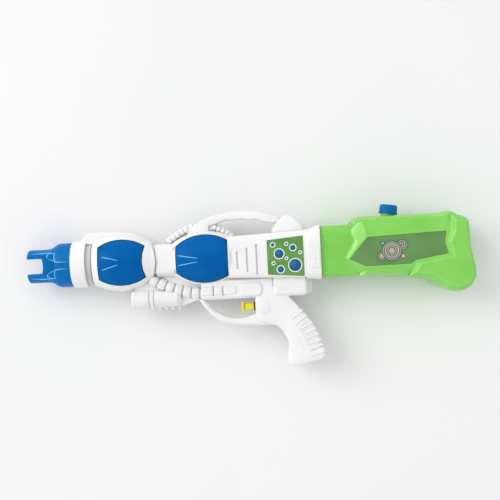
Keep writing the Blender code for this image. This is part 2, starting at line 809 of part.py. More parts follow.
def handle_outline():
    """Top and wavy underside of the handle, as shares of its span and drops from its rise."""
    span = lug_front + LUG_LENGTH / 4 - handle_front
    top = ((0.17, 0.0100), (0.34, 0.0035), (0.60, 0.0), (0.84, 0.0040))
    under = (
        (0.84, 0.0050), (0.75, 0.0012), (0.68, 0.0022), (0.60, 0.0),
        (0.51, 0.0015), (0.43, 0.0008), (0.34, 0.0045),
    )
    foot = REAR_HOUSING_RADIUS - 6 * WALL
    heel = HANDLE_RISE - HANDLE_GRIP
    points = [(handle_front, foot, CORNER), (handle_front + 0.03 * span, HANDLE_RISE - 0.0205, CORNER)]
    points += [(handle_front + share * span, HANDLE_RISE - drop) for share, drop in top]
    tail = handle_front + span
    points += [(tail, HANDLE_RISE - 0.0100, CORNER), (tail, heel - 0.0080, CORNER)]
    points += [(handle_front + share * span, heel - drop) for share, drop in under]
    inner = handle_front + 0.25 * span
    points += [(inner, heel - 0.0080, CORNER), (inner, foot, CORNER)]
    return points


def lug_outline():
    foot = RECEIVER_REAR_HALF_HEIGHT - 4 * WALL
    shares = ((0.15, 0.62), (0.29, 0.88), (0.42, 1.0), (0.60, 0.96), (0.78, 0.72))
    rise = LUG_TOP - RECEIVER_REAR_HALF_HEIGHT + WALL
    points = [(lug_front, foot, CORNER), (lug_front, LUG_TOP - 0.75 * rise, CORNER)]
    points += [(lug_front + along * LUG_LENGTH, LUG_TOP - (1 - up) * rise) for along, up in shares]
    points += [(receiver_rear - WALL, LUG_TOP - 0.68 * rise, CORNER), (receiver_rear - WALL, foot, CORNER)]
    return points


def guard_outline():
    """The guard's bow, outside from the canister back to the grip and inside forward again."""
    outer_front = RAIL_FRONT - 2 * WALL
    inner_front = outer_front + GUARD_STRAP + 0.0005
    rear = trigger_wall + 0.026
    inside = GUARD_BOTTOM + GUARD_STRAP
    return [
        (outer_front, RAIL_BOTTOM + WALL, CORNER),
        (outer_front + 0.17 * (rear - outer_front), GUARD_BOTTOM + 0.0140),
        (outer_front + 0.36 * (rear - outer_front), GUARD_BOTTOM + 0.0030),
        (outer_front + 0.62 * (rear - outer_front), GUARD_BOTTOM - 0.0008),
        (rear, GUARD_BOTTOM - 0.0020, CORNER),
        (rear, inside, CORNER),
        (trigger_wall + WALL, inside + 0.0060, CORNER),
        (trigger_wall - 0.0085, inside + 0.0018),
        (trigger_wall - 0.0220, inside - 0.0004),
        (trigger_wall - 0.0400, inside + 0.0042),
        (inner_front + 0.0065, inside + 0.0160),
        (inner_front, RAIL_BOTTOM + WALL, CORNER),
    ]


def on_grip(points):
    """Points given from the foot of the trigger's wall."""
    return [(trigger_wall + point[0], RAIL_BOTTOM + point[1], *point[2:]) for point in points]


def grip_outline():
    """The pump housing behind the trigger and the pistol grip, clockwise from the top of the wall."""
    roof = 6 * WALL
    return on_grip([
        (0.0, roof, CORNER), (0.0435, roof, CORNER), (0.0440, -0.0015, CORNER), (0.0565, -0.0155),
        (0.0670, -0.0290), (0.0755, -0.0430), (0.0810, -0.0605), (0.0850, -0.0720), (0.0843, -0.0785),
        (0.0790, -0.0825), (0.0645, -0.0847), (0.0475, -0.0887), (0.0415, -0.0875), (0.0381, -0.0820),
        (0.0395, -0.0735), (0.0407, -0.0625), (0.0365, -0.0495), (0.0255, -0.0365), (0.0060, -0.0305),
        (0.0, -0.0235, CORNER),
    ])


def grip_ribs():
    """Raised bars across the back of the grip."""
    line = on_grip([
        (0.0580, -0.0180), (0.0690, -0.0335), (0.0765, -0.0485), (0.0813, -0.0625), (0.0839, -0.0710),
    ])
    spots = smooth_route([(x, y, 0.0) for x, y in line], 8)
    step = (len(spots) - 1) / (GRIP_RIB_COUNT - 1)
    half = GRIP_HALF_WIDTH + GRIP_RIB_HEIGHT
    ribs = []
    for i in range(GRIP_RIB_COUNT):
        here = min(int(round(i * step)), len(spots) - 2)
        along = (spots[here + 1] - spots[here]).normalized()
        rib = block(
            "grip_rib", (-GRIP_RIB_WIDTH / 2, -GRIP_RIB_LENGTH, -half),
            (GRIP_RIB_WIDTH / 2, GRIP_RIB_HEIGHT, half),
        )
        turn = math.atan2(along.y, along.x)
        rib.data.transform(Matrix.Translation(spots[here]) @ Matrix.Rotation(turn, 4, "Z"))
        ribs.append(rib)
    return ribs


def moulded_hose(name, ends, radius, ribs, sides=1):
    """A ribbed hose in relief: each rib is a wide and a narrow ring along an arc."""
    route = arc_through(*ends, ribs * 2)
    swell = [1.0 if i % 2 else HOSE_VALLEY for i in range(len(route))]
    shape = tube(name, [Vector((x, y, 0.0)) for x, y in route], radius, swell, sides)
    shape.data.transform(Matrix.Scale(HOSE_DEPTH, 4, (0, 0, 1)))
    return shape


def moulded_hoses():
    bulge = REAR_HOUSING_RADIUS
    middle = (rear_window_front + RECEIVER_FRONT) / 2
    lower = (
        (neck_front - 0.004, -NECK_RADIUS - 0.0015),
        (neck_front + 0.024, -bulge - 0.0005),
        (middle + 0.006, -bulge - 0.0085),
    )
    upper_front = (
        (rear_rim_front - 0.007, NECK_RADIUS + 0.0015),
        (rear_window_front + 0.004, bulge - 0.0035),
        (middle - 0.010, bulge + 0.0045),
    )
    upper_rear = (
        (middle + 0.014, bulge + 0.0040),
        (middle + 0.026, bulge - 0.0010),
        (RECEIVER_FRONT + 0.006, RECEIVER_FRONT_HALF_HEIGHT - 0.002),
    )
    return [
        moulded_hose("lower_hose", lower, LOWER_HOSE_RADIUS, LOWER_HOSE_RIBS, sides=2),
        moulded_hose("upper_front_hose", upper_front, UPPER_HOSE_RADIUS, UPPER_FRONT_HOSE_RIBS),
        moulded_hose("upper_rear_hose", upper_rear, UPPER_HOSE_RADIUS, UPPER_REAR_HOSE_RIBS),
    ]


def canister():
    rear = CANISTER_FRONT + CANISTER_LENGTH
    radius = CANISTER_RADIUS
    profile = [(CANISTER_FRONT, radius - 0.002), (CANISTER_FRONT + 0.002, radius)]
    for start in CANISTER_GROOVES:
        x = CANISTER_FRONT + start
        deep = radius - CANISTER_GROOVE_DEPTH
        profile += [(x, radius), (x + GROOVE_WIDTH / 2, deep), (x + GROOVE_WIDTH, radius)]
    profile += arc_through((rear - 0.006, radius), (rear - 0.002, 0.75 * radius), (rear, 0.4 * radius), 3)
    return moved(turned("canister", profile, steps=16, depth=1.25), y=CANISTER_AXIS_Y)


def canister_web():
    """The wall that carries the canister under the barrel and runs back to the guard."""
    points = polygon([
        (CANISTER_FRONT + 0.003, -NECK_RADIUS), (CANISTER_FRONT + 0.003, CANISTER_AXIS_Y),
        (CANISTER_FRONT + 0.012, KEEL_BOTTOM), (CANISTER_FRONT + CANISTER_LENGTH, KEEL_BOTTOM + 0.002),
        (RAIL_FRONT - 0.006, RAIL_BOTTOM), (RAIL_FRONT + 0.010, RAIL_BOTTOM), (RAIL_FRONT + 0.010, RAIL_TOP),
        (rear_window_front, -NECK_RADIUS + WALL), (neck_front, -NECK_RADIUS + WALL),
    ])
    return plate("canister_web", points, KEEL_HALF_WIDTH, edge=0.0015, edge_steps=0)


def keel_ridges():
    first = CANISTER_FRONT + 0.018
    pitch = (CANISTER_LENGTH - 0.022) / (KEEL_RIDGE_COUNT - 1)
    width = KEEL_HALF_WIDTH * 0.8
    return [
        rod(
            "keel_ridge", (first + i * pitch, KEEL_BOTTOM, -width), (first + i * pitch, KEEL_BOTTOM, width),
            KEEL_RIDGE_RADIUS, 6,
        )
        for i in range(KEEL_RIDGE_COUNT)
    ]


def rail(inset=0.0):
    low = (RAIL_FRONT + inset, RAIL_BOTTOM + inset, -RAIL_HALF_WIDTH + inset)
    high = (rail_rear, RAIL_TOP + inset, RAIL_HALF_WIDTH - inset)
    return block("rail", low, high, 0.0 if inset else EDGE_ROUND)


cover_rear = RAIL_FRONT + 0.077
cover_front = cover_rear - COVER_LENGTH


def dust_cover():
    half = RAIL_HALF_WIDTH + COVER_HEIGHT
    middle = (COVER_TOP + COVER_BOTTOM) / 2
    round_end = arc_through(
        (cover_rear - 0.004, COVER_TOP), (cover_rear, middle), (cover_rear - 0.004, COVER_BOTTOM), 6
    )
    points = polygon([(cover_front, COVER_BOTTOM), (cover_front, COVER_TOP)] + round_end)
    return plate("dust_cover", points, half, edge=0.001, edge_steps=0)


def rail_slots():
    centre = (COVER_TOP + COVER_BOTTOM) / 2
    cuts = []
    for i in range(RAIL_SLOT_COUNT):
        x = RAIL_FRONT + 0.0015 + i * RAIL_SLOT_PITCH
        for side in (1, -1):
            inner, outer = sorted((side * (RAIL_HALF_WIDTH - GROOVE_DEPTH), side * 2 * RAIL_HALF_WIDTH))
            low = (x, centre - RAIL_SLOT_HALF_HEIGHT, inner)
            high = (x + RAIL_SLOT_WIDTH, centre + RAIL_SLOT_HALF_HEIGHT, outer)
            cuts.append(block("rail_slot", low, high))
    return cuts


def lower_receiver(inset=0.0):
    half = LOWER_RECEIVER_HALF_WIDTH - inset
    roof = -RECEIVER_REAR_HALF_HEIGHT + 2 * WALL + inset
    low = (receiver_rear - LOWER_RECEIVER_LENGTH + inset, LOWER_RECEIVER_BOTTOM + inset, -half)
    return block("lower_receiver", low, (receiver_rear - inset, roof, half), 0.0 if inset else EDGE_ROUND)


def strap_lug():
    low = (receiver_rear - WALL, LOWER_RECEIVER_BOTTOM + 0.002, -WALL)
    return block("strap_lug", low, (receiver_rear + 0.007, -RECEIVER_REAR_HALF_HEIGHT, WALL), 0.0015)


def receiver_grooves():
    cuts = []
    for i, half in enumerate(GROOVE_HALF_HEIGHTS):
        x = RECEIVER_FRONT + GROOVE_FIRST + i * GROOVE_PITCH
        share = (x - RECEIVER_FRONT) / (RECEIVER_LENGTH / 2)
        face = RECEIVER_FRONT_HALF_WIDTH + share * (RECEIVER_HALF_WIDTH - RECEIVER_FRONT_HALF_WIDTH)
        for side in (1, -1):
            inner, outer = sorted((side * (face - GROOVE_DEPTH), side * (face + WALL)))
            low = (x, GROOVE_CENTRE_Y - half, inner)
            cuts.append(block("receiver_groove", low, (x + GROOVE_WIDTH, GROOVE_CENTRE_Y + half, outer)))
    return cuts


def receiver_label_outline():
    front = receiver_rear - LABEL_SETBACK - LABEL_LENGTH
    rear = receiver_rear - LABEL_SETBACK
    return [
        (front, LABEL_CENTRE_Y - LABEL_FRONT_HALF_HEIGHT), (rear, LABEL_CENTRE_Y - LABEL_REAR_HALF_HEIGHT),
        (rear, LABEL_CENTRE_Y + LABEL_REAR_HALF_HEIGHT), (front, LABEL_CENTRE_Y + LABEL_FRONT_HALF_HEIGHT),
    ]


def collar_pad():
    """A plain raised pad on each side of the rear collar."""
    half = REAR_COLLAR_HALF_WIDTH + COLLAR_PAD_HEIGHT
    low = (receiver_rear + COLLAR_PAD_SETBACK, COLLAR_PAD_BOTTOM, -half)
    high = (collar_end - COLLAR_PAD_HEIGHT, COLLAR_PAD_TOP, half)
    return block("collar_pad", low, high, COLLAR_PAD_HEIGHT)


def panel_recess(points, face):
    """A shallow pocket for a label on both sides."""
    outline = inset_loop(points, -FIT)
    pocket = []
    for side in (1, -1):
        near = at_depth(outline, side * (face - LABEL_RECESS))
        far = at_depth(outline, side * (face + WALL))
        pocket.append(loft("label_pocket", [near, far]))
    return pocket


cylinder_front = trigger_wall + CYLINDER_SETBACK
cylinder_rear = cylinder_front + CYLINDER_CHAMBER + CYLINDER_END_WALL
cylinder_flange = cylinder_front + SPRING_SEAT
port_x = cylinder_front + CYLINDER_CHAMBER - PORT_RADIUS
valve_bottom = LOWER_RECEIVER_BOTTOM + WALL + FIT
valve_top = valve_bottom + VALVE_BLOCK_HEIGHT
valve_front = port_x - 0.006
valve_rear = valve_front + VALVE_BLOCK_LENGTH
gallery_y = (valve_bottom + valve_top) / 2


def pump_rests():
    """Ribs inside the shells that hold the cylinder's flange and the valve block."""
    back = cylinder_flange + CYLINDER_FLANGE_THICKNESS + FIT
    valve_rest = valve_rear - 0.008
    wide = LOWER_RECEIVER_HALF_WIDTH - WALL / 2
    rests = []
    for side in (1, -1):
        inner, outer = sorted((side * (CYLINDER_RADIUS + FIT), side * (GRIP_HALF_WIDTH - WALL / 2)))
        low = (back, TRIGGER_AXIS_Y - 0.005, inner)
        rests.append(block("flange_rest", low, (back + WALL, TRIGGER_AXIS_Y + 0.005, outer)))
        inner, outer = sorted((side * (VALVE_BLOCK_HALF_WIDTH + FIT), side * wide))
        low = (valve_rest, valve_bottom + WALL, inner)
        rests.append(block("valve_rest", low, (valve_rest + WALL, valve_top - WALL, outer)))
    return rests


def trigger_slot():
    half = TRIGGER_STEM / 2 + SLIDE_FIT
    low = (trigger_wall - WALL, TRIGGER_AXIS_Y - half, -half)
    return block("trigger_slot", low, (trigger_wall + 2 * WALL, TRIGGER_AXIS_Y + half, half))


def pump_bay():
    start = (trigger_wall + WALL, TRIGGER_AXIS_Y, 0.0)
    end = (cylinder_rear + WALL, TRIGGER_AXIS_Y, 0.0)
    return rod("pump_bay", start, end, CYLINDER_FLANGE_RADIUS + 2 * FIT, 20)


# Screw places, each with the half width of the shell there
screw_places = (
    (CANISTER_FRONT + 0.013, CANISTER_AXIS_Y, CANISTER_RADIUS),
    (CANISTER_FRONT + 0.051, CANISTER_AXIS_Y, CANISTER_RADIUS),
    (bulkhead - 0.007, 0.5 * NECK_RADIUS, 0.75 * NECK_RADIUS),
    (RAIL_FRONT + 0.030, (COVER_TOP + COVER_BOTTOM) / 2, RAIL_HALF_WIDTH),
    (cover_rear - 0.012, (COVER_TOP + COVER_BOTTOM) / 2, RAIL_HALF_WIDTH),
    (handle_front + 0.014, HANDLE_RISE - 0.020, HANDLE_HALF_WIDTH),
    (lug_front + 0.5 * LUG_LENGTH, LUG_TOP - 0.0105, LUG_HALF_WIDTH),
    *on_grip([(0.0585, -0.0405, GRIP_HALF_WIDTH), (0.0595, -0.0745, GRIP_HALF_WIDTH)]),
)


def build_shells():
    shell = turned("shell", barrel_profile(), depth=BARREL_DEPTH)
    join(shell, ridge(), receiver(), rear_collar(), collar_pad(), lower_receiver(), strap_lug())
    join(shell, canister_web(), canister(), *keel_ridges(), rail(), dust_cover())
    join(shell, plate("guard", guard_outline(), GUARD_HALF_WIDTH, GUARD_EDGE, steps=2, edge_steps=0))
    join(shell, plate("grip", grip_outline(), GRIP_HALF_WIDTH, GRIP_EDGE, steps=2), *grip_ribs())
    join(shell, plate("handle", handle_outline(), HANDLE_HALF_WIDTH, HANDLE_EDGE, steps=2))
    join(shell, plate("lug", lug_outline(), LUG_HALF_WIDTH, LUG_EDGE), *moulded_hoses())

    cut(shell, turned("barrel_cavity", barrel_cavity(), depth=BARREL_DEPTH))
    cut(shell, receiver(WALL), lower_receiver(WALL), rail(WALL))
    cut(shell, plate("grip_cavity", grip_outline(), GRIP_HALF_WIDTH - WALL, inset=WALL, steps=1))
    cut(shell, tank_spigot(FIT, spigot_front - FIT, collar_end + WALL), pump_bay(), trigger_slot())
    cut(shell, plate("front_window", front_window, 2 * FRONT_HOUSING_RADIUS))
    cut(shell, plate("rear_window", rear_window, 2 * REAR_HOUSING_RADIUS))
    cut(shell, *receiver_grooves(), *rail_slots())
    cut(shell, *panel_recess(receiver_label_outline(), RECEIVER_HALF_WIDTH))
    join(shell, *pump_rests())

    for x, y, half in screw_places:
        reach = half - WALL / 2
        join(shell, rod("screw_boss", (x, y, -reach), (x, y, reach), SCREW_BOSS_RADIUS, 12))

    span = 1.0
    split = SHELL_SPLIT / 2
    left = common(copy_of(shell, "left"), block("left_half", (-span, -span, split), (span, span, span)))
    right = common(shell, block("right_half", (-span, -span, -span), (span, span, -split)))
    hole = SCREW_SHANK_RADIUS + FIT
    for x, y, half in screw_places:
        cut(left, rod("pilot", (x, y, -WALL), (x, y, SCREW_REACH + FIT), hole, 8))
        cut(right, rod("clearance", (x, y, -SCREW_SEAT - WALL), (x, y, WALL), hole, 8))
        outside = -SCREW_SEAT - 2 * half
        cut(right, rod("head_recess", (x, y, -SCREW_SEAT), (x, y, outside), SCREW_HEAD_RADIUS + FIT, 12))
    finish(left, "left_shell", white)
    finish(right, "right_shell", white)


def build_screws():
    seat = -SCREW_SEAT - FIT
    head = seat - SCREW_HEAD_HEIGHT
    tip = SCREW_REACH
    profile = [
        (head, 0.7 * SCREW_HEAD_RADIUS),
        (head + 0.4 * SCREW_HEAD_HEIGHT, SCREW_HEAD_RADIUS),
        (seat, SCREW_HEAD_RADIUS),
        (seat, SCREW_SHANK_RADIUS),
        (tip - 2 * SCREW_SHANK_RADIUS, SCREW_SHANK_RADIUS),
        (tip, 0.3 * SCREW_SHANK_RADIUS),
    ]
    for i, place in enumerate(screw_places):
        screw = turned("screw", profile, steps=8)
        screw.data.transform(Matrix.Rotation(-math.pi / 2, 4, "Y"))
        screw.location = (place[0], place[1], 0.0)
        finish(screw, f"shell_screw_{i + 1}", steel)


def build_bulbs(name, housing, window):
    """A dome that fills a window, with a lip behind the housing's wall, on each side."""
    far = 2 * FRONT_HOUSING_RADIUS
    crown = turned("crown", housing(BULB_SINK), depth=BARREL_DEPTH)
    common(crown, plate("crown_outline", window, far, inset=BULB_FIT))
    lip = turned("lip", room(housing, FIT), depth=BARREL_DEPTH)
    common(lip, plate("lip_outline", window, far, inset=-BULB_LIP))
    hollow = turned("hollow", room(housing, FIT + BULB_WALL), steps=12, depth=BARREL_DEPTH)
    dome = cut(join(crown, lip), hollow)
    left = common(dome, block("left_side", (-1, -1, BULB_LIP), (1, 1, 1)))
    right = mirrored(left, "bulb_mirror")
    finish(left, name + "_left", blue)
    finish(right, name + "_right", blue)


def nozzle_profile(sink=0.0):
    rise = NOZZLE_BASE_RADIUS - PRONG_RADIUS
    shares = ((0.0, 0.0), (0.35, 0.25), (0.75, 0.85), (1.0, 1.0))
    flare = [
        (prong_root + along * NOZZLE_FLARE_LENGTH, PRONG_RADIUS + up * rise - sink) for along, up in shares
    ]
    return [
        (muzzle, PRONG_RADIUS - PRONG_EDGE - sink),
        (muzzle + PRONG_EDGE, PRONG_RADIUS - sink),
        *flare,
        (nozzle_base, NOZZLE_BASE_RADIUS - sink),
    ]


def build_nozzle():
    spigot = [
        (nozzle_base, SPIGOT_RADIUS),
        (flange_front, SPIGOT_RADIUS),
        (flange_front, SPIGOT_FLANGE_RADIUS),
        (flange_rear, SPIGOT_FLANGE_RADIUS),
        (flange_rear, SPIGOT_RADIUS),
        (nozzle_base + SPIGOT_LENGTH, SPIGOT_RADIUS),
    ]
    nozzle = turned("nozzle", nozzle_profile() + spigot, depth=BARREL_DEPTH)
    half = MUZZLE_SLOT_HALF
    slot_end = arc_through((slot_floor, -half), (slot_floor + MUZZLE_SLOT_HOLLOW, 0.0), (slot_floor, half), 8)
    far = 2 * NOZZLE_BASE_RADIUS
    slot = polygon([(muzzle - WALL, half), (muzzle - WALL, -half)] + slot_end)
    cut(nozzle, plate("muzzle_slot", slot, far))

    # On each side a flat along the prongs, a pocket in it that rises to the slot, and a sunk channel behind
    flat_rear = muzzle + NOZZLE_FLAT_LENGTH
    pocket_rear = flat_rear - WALL / 2
    pocket_mid = pocket_rear - NOZZLE_POCKET_LENGTH
    pocket_front = slot_floor - WALL
    slope = (NOZZLE_POCKET_DEPTH - NOZZLE_POCKET_LIP) / (pocket_rear - pocket_front)
    stations = (
        (pocket_rear, NOZZLE_CHANNEL_HALF), (pocket_mid, NOZZLE_POCKET_HALF),
        (pocket_front, NOZZLE_POCKET_HALF),
    )
    for side in (1, -1):
        low, high = sorted((side * NOZZLE_FLAT_HALF, side * far))
        cut(nozzle, block("flat", (muzzle - WALL, -far, low), (flat_rear, far, high)))
        loops = []
        for x, half in stations:
            floor = side * (NOZZLE_FLAT_HALF - NOZZLE_POCKET_LIP - slope * (x - pocket_front))
            top = side * (NOZZLE_FLAT_HALF + WALL)
            loops.append([(x, -half, floor), (x, half, floor), (x, half, top), (x, -half, top)])
        cut(nozzle, loft("pocket", loops))
    channel_end = nozzle_base - 0.4 * NOZZLE_BASE_LENGTH
    channel_outline = polygon([
        (channel_end, NOZZLE_CHANNEL_HALF), (flat_rear - WALL, NOZZLE_CHANNEL_HALF),
        (flat_rear - WALL, -NOZZLE_CHANNEL_HALF), (channel_end, -NOZZLE_CHANNEL_HALF),
    ])
    channel = plate("channel", channel_outline, far)
    cut(channel, turned("channel_floor", nozzle_profile(NOZZLE_PAD_HEIGHT), depth=BARREL_DEPTH))
    cut(nozzle, channel)

    jet_front = slot_floor + MUZZLE_SLOT_HOLLOW + 0.0035
    bore_end = nozzle_base + SPIGOT_LENGTH + WALL
    cut(nozzle, rod("jet_bore", (jet_front, 0, 0), (bore_end, 0, 0), JET_RADIUS + 2 * FIT, 12))
    tip_bore = ((slot_floor - WALL, 0, 0), (jet_front + WALL, 0, 0))
    cut(nozzle, rod("tip_bore", *tip_bore, JET_TIP_RADIUS + 2 * FIT, 10))
    finish(nozzle, "nozzle", blue)

    seal_front = jet_front + FIT
    seal_rear = seal_front + JET_SEAL_LENGTH
    seal = [
        (seal_front, JET_TIP_RADIUS + FIT), (seal_rear, JET_TIP_RADIUS + FIT),
        (seal_rear, JET_RADIUS), (seal_front, JET_RADIUS),
    ]
    finish(turned("jet_seal", seal, steps=12, ring=True), "jet_seal", rubber)

    jet_shoulder = seal_rear + FIT
    jet_rear = jet_shoulder + JET_LENGTH
    socket_floor = jet_rear - JET_SOCKET_DEPTH
    jet = [
        (jet_shoulder - JET_TIP_LENGTH, JET_ORIFICE_RADIUS), (jet_shoulder - JET_TIP_LENGTH, JET_TIP_RADIUS),
        (jet_shoulder, JET_TIP_RADIUS), (jet_shoulder, JET_RADIUS), (jet_rear, JET_RADIUS),
        (jet_rear, TUBE_RADIUS + FIT), (socket_floor, TUBE_RADIUS + FIT), (socket_floor, JET_ORIFICE_RADIUS),
    ]
    finish(turned("jet_insert", jet, steps=12, ring=True), "jet_insert", natural)
    return socket_floor


def build_trigger():
    """The T-shaped trigger, drawn from the point where its axis meets the guard's wall."""
    half = TRIGGER_STEM / 2
    flange = WALL + SLIDE_FIT
    face_front = -TRIGGER_REACH
    face = block(
        "face", (face_front, -TRIGGER_FACE_HEIGHT / 2, -TRIGGER_FACE_WIDTH / 2),
        (face_front + TRIGGER_FACE_THICKNESS, TRIGGER_FACE_HEIGHT / 2, TRIGGER_FACE_WIDTH / 2), 0.001,
    )
    stem = block("stem", (face_front + 0.001, -half, -half), (flange + 0.001, half, half))
    disc = rod("disc", (flange, 0, 0), (flange + TRIGGER_FLANGE_THICKNESS, 0, 0), TRIGGER_FLANGE_RADIUS, 20)
    trigger = join(stem, face, disc)
    trigger.location = (trigger_wall, TRIGGER_AXIS_Y, 0.0)
    finish(trigger, "trigger", yellow)
    return trigger_wall + flange + TRIGGER_FLANGE_THICKNESS


def build_pump(push_face):
    """Piston, seal, spring and cylinder on the trigger's axis."""
    rod_front = push_face + FIT
    piston_front = cylinder_front + PISTON_INSET
    piston_rear = piston_front + PISTON_LENGTH
    groove_front = piston_front + (PISTON_LENGTH - PISTON_GROOVE_LENGTH) / 2
    groove_rear = groove_front + PISTON_GROOVE_LENGTH
    groove = PISTON_RADIUS - PISTON_GROOVE_DEPTH
    piston = turned("piston", [
        (rod_front, PISTON_ROD_RADIUS), (piston_front, PISTON_ROD_RADIUS), (piston_front, PISTON_RADIUS),
        (groove_front, PISTON_RADIUS), (groove_front, groove), (groove_rear, groove),
        (groove_rear, PISTON_RADIUS), (piston_rear, PISTON_RADIUS),
    ], steps=12)
    piston.location = (0.0, TRIGGER_AXIS_Y, 0.0)
    finish(piston, "piston", natural)

    seal_inner = groove + FIT / 2
    seal = turned("seal", [
        (groove_front + FIT / 2, seal_inner), (groove_rear - FIT / 2, seal_inner),
        (groove_rear - FIT / 2, CYLINDER_BORE - FIT / 2), (groove_front + FIT / 2, CYLINDER_BORE - FIT / 2),
    ], steps=12, ring=True)
    seal.location = (0.0, TRIGGER_AXIS_Y, 0.0)
    finish(seal, "piston_seal", rubber)

    chamber_end = cylinder_front + CYLINDER_CHAMBER
    flange_back = cylinder_flange + CYLINDER_FLANGE_THICKNESS
    cylinder = turned("cylinder", [
        (cylinder_front, CYLINDER_RADIUS), (cylinder_flange, CYLINDER_RADIUS),
        (cylinder_flange, CYLINDER_FLANGE_RADIUS), (flange_back, CYLINDER_FLANGE_RADIUS),
        (flange_back, CYLINDER_RADIUS), (cylinder_rear, CYLINDER_RADIUS),
    ], steps=16)
    moved(cylinder, y=TRIGGER_AXIS_Y)
    port_top = valve_bottom + 0.002
    join(cylinder, rod("port", (port_x, TRIGGER_AXIS_Y, 0), (port_x, port_top, 0), PORT_RADIUS, 12))
    bore = (cylinder_front - WALL, TRIGGER_AXIS_Y, 0)
    cut(cylinder, rod("chamber", bore, (chamber_end, TRIGGER_AXIS_Y, 0), CYLINDER_BORE, 16))
    cut(cylinder, rod("port_bore", (port_x, TRIGGER_AXIS_Y, 0), (port_x, port_top + WALL, 0), PORT_BORE, 8))
    finish(cylinder, "pump_cylinder", natural)

    first = push_face + FIT + SPRING_WIRE_RADIUS
    last = cylinder_flange - FIT - SPRING_WIRE_RADIUS
    points_per_coil = 10
    count = SPRING_COILS * points_per_coil
    route = []
    for i in range(count + 1):
        angle = 2 * math.pi * i / points_per_coil
        along = first + (last - first) * i / count
        route.append(Vector((along, SPRING_RADIUS * math.cos(angle), SPRING_RADIUS * math.sin(angle))))
    gap = min(
        (route[i] - route[j]).length
        for i in range(count + 1)
        for j in range(i + points_per_coil // 2, count + 1)
    ) - 2 * SPRING_WIRE_RADIUS
    print(f"return_spring least gap to itself {gap * 1000:.2f} mm")
    spring = tube("spring", route, SPRING_WIRE_RADIUS, sides=1)
    spring.location = (0.0, TRIGGER_AXIS_Y, 0.0)
    finish(spring, "return_spring", steel)


def build_valves():
    """The block with its two ball valves: the inlet at its rear, the outlet on its top."""
    half = VALVE_BLOCK_HALF_WIDTH
    body = block("valve", (valve_front, valve_bottom, -half), (valve_rear, valve_top, half), 0.0008)
    inlet_floor = valve_rear - VALVE_PLUG_DEPTH - 2 * VALVE_BALL_RADIUS - 2 * VALVE_BALL_LIFT
    outlet_floor = gallery_y + PORT_BORE + 0.001
    chimney_top = outlet_floor + 2 * VALVE_BALL_RADIUS + 2 * VALVE_BALL_LIFT + VALVE_PLUG_DEPTH
    chimney_wall = VALVE_CHAMBER_RADIUS + 0.0015
    join(body, rod("chimney", (port_x, gallery_y, 0), (port_x, chimney_top, 0), chimney_wall, 14))
    port_socket = ((port_x, valve_bottom - WALL, 0), (port_x, valve_bottom + 0.002 + FIT, 0))
    cut(body, rod("port_socket", *port_socket, PORT_RADIUS + FIT, 12))
    cut(body, rod("riser", (port_x, valve_bottom, 0), (port_x, outlet_floor + WALL / 2, 0), PORT_BORE, 8))
    cut(body, rod("gallery", (port_x, gallery_y, 0), (inlet_floor + WALL / 2, gallery_y, 0), PORT_BORE, 8))
    inlet = ((inlet_floor, gallery_y, 0), (valve_rear + WALL, gallery_y, 0))
    cut(body, rod("inlet_chamber", *inlet, VALVE_CHAMBER_RADIUS, 14))
    outlet = ((port_x, outlet_floor, 0), (port_x, chimney_top + WALL, 0))
    cut(body, rod("outlet_chamber", *outlet, VALVE_CHAMBER_RADIUS, 14))
    finish(body, "valve_block", natural)

    # Plugs with a barbed spigot for each tube, drawn along x from their shoulder
    shoulder = FIT + VALVE_PLUG_RIM
    spigot_tip = shoulder + VALVE_SPIGOT_LENGTH
    rim = VALVE_CHAMBER_RADIUS + VALVE_PLUG_RIM
    plug = [
        (-VALVE_PLUG_DEPTH, PORT_BORE / 2), (-VALVE_PLUG_DEPTH, VALVE_CHAMBER_RADIUS - FIT),
        (FIT, VALVE_CHAMBER_RADIUS - FIT), (FIT, rim), (shoulder, rim), (shoulder, TUBE_BORE - 2 * FIT),
        (spigot_tip, TUBE_BORE - 2 * FIT), (spigot_tip, PORT_BORE / 2),
    ]
    inlet_plug = turned("inlet_plug", plug, steps=12, ring=True)
    inlet_plug.location = (valve_rear, gallery_y, 0.0)
    finish(inlet_plug, "inlet_seat", natural)
    outlet_plug = turned("outlet_plug", plug, steps=12, ring=True)
    outlet_plug.data.transform(Matrix.Rotation(math.pi / 2, 4, "Z"))
    outlet_plug.location = (port_x, chimney_top, 0.0)
    finish(outlet_plug, "outlet_spigot", natural)

    seat_drop = math.sqrt(VALVE_BALL_RADIUS**2 - PORT_BORE**2) + FIT
    inlet_x = valve_rear - VALVE_PLUG_DEPTH - VALVE_BALL_RADIUS - FIT
    inlet_ball = ball("inlet_ball", (0, 0, 0), VALVE_BALL_RADIUS)
    inlet_ball.location = (inlet_x, gallery_y, 0.0)
    finish(inlet_ball, "inlet_ball", steel)
    outlet_ball = ball("outlet_ball", (0, 0, 0), VALVE_BALL_RADIUS)
    outlet_ball.location = (port_x, outlet_floor + seat_drop, 0.0)
    finish(outlet_ball, "outlet_ball", steel)
    inlet_end = Vector((valve_rear + shoulder + FIT, gallery_y, 0.0))
    return inlet_end, Vector((port_x, chimney_top + shoulder + FIT, 0.0))


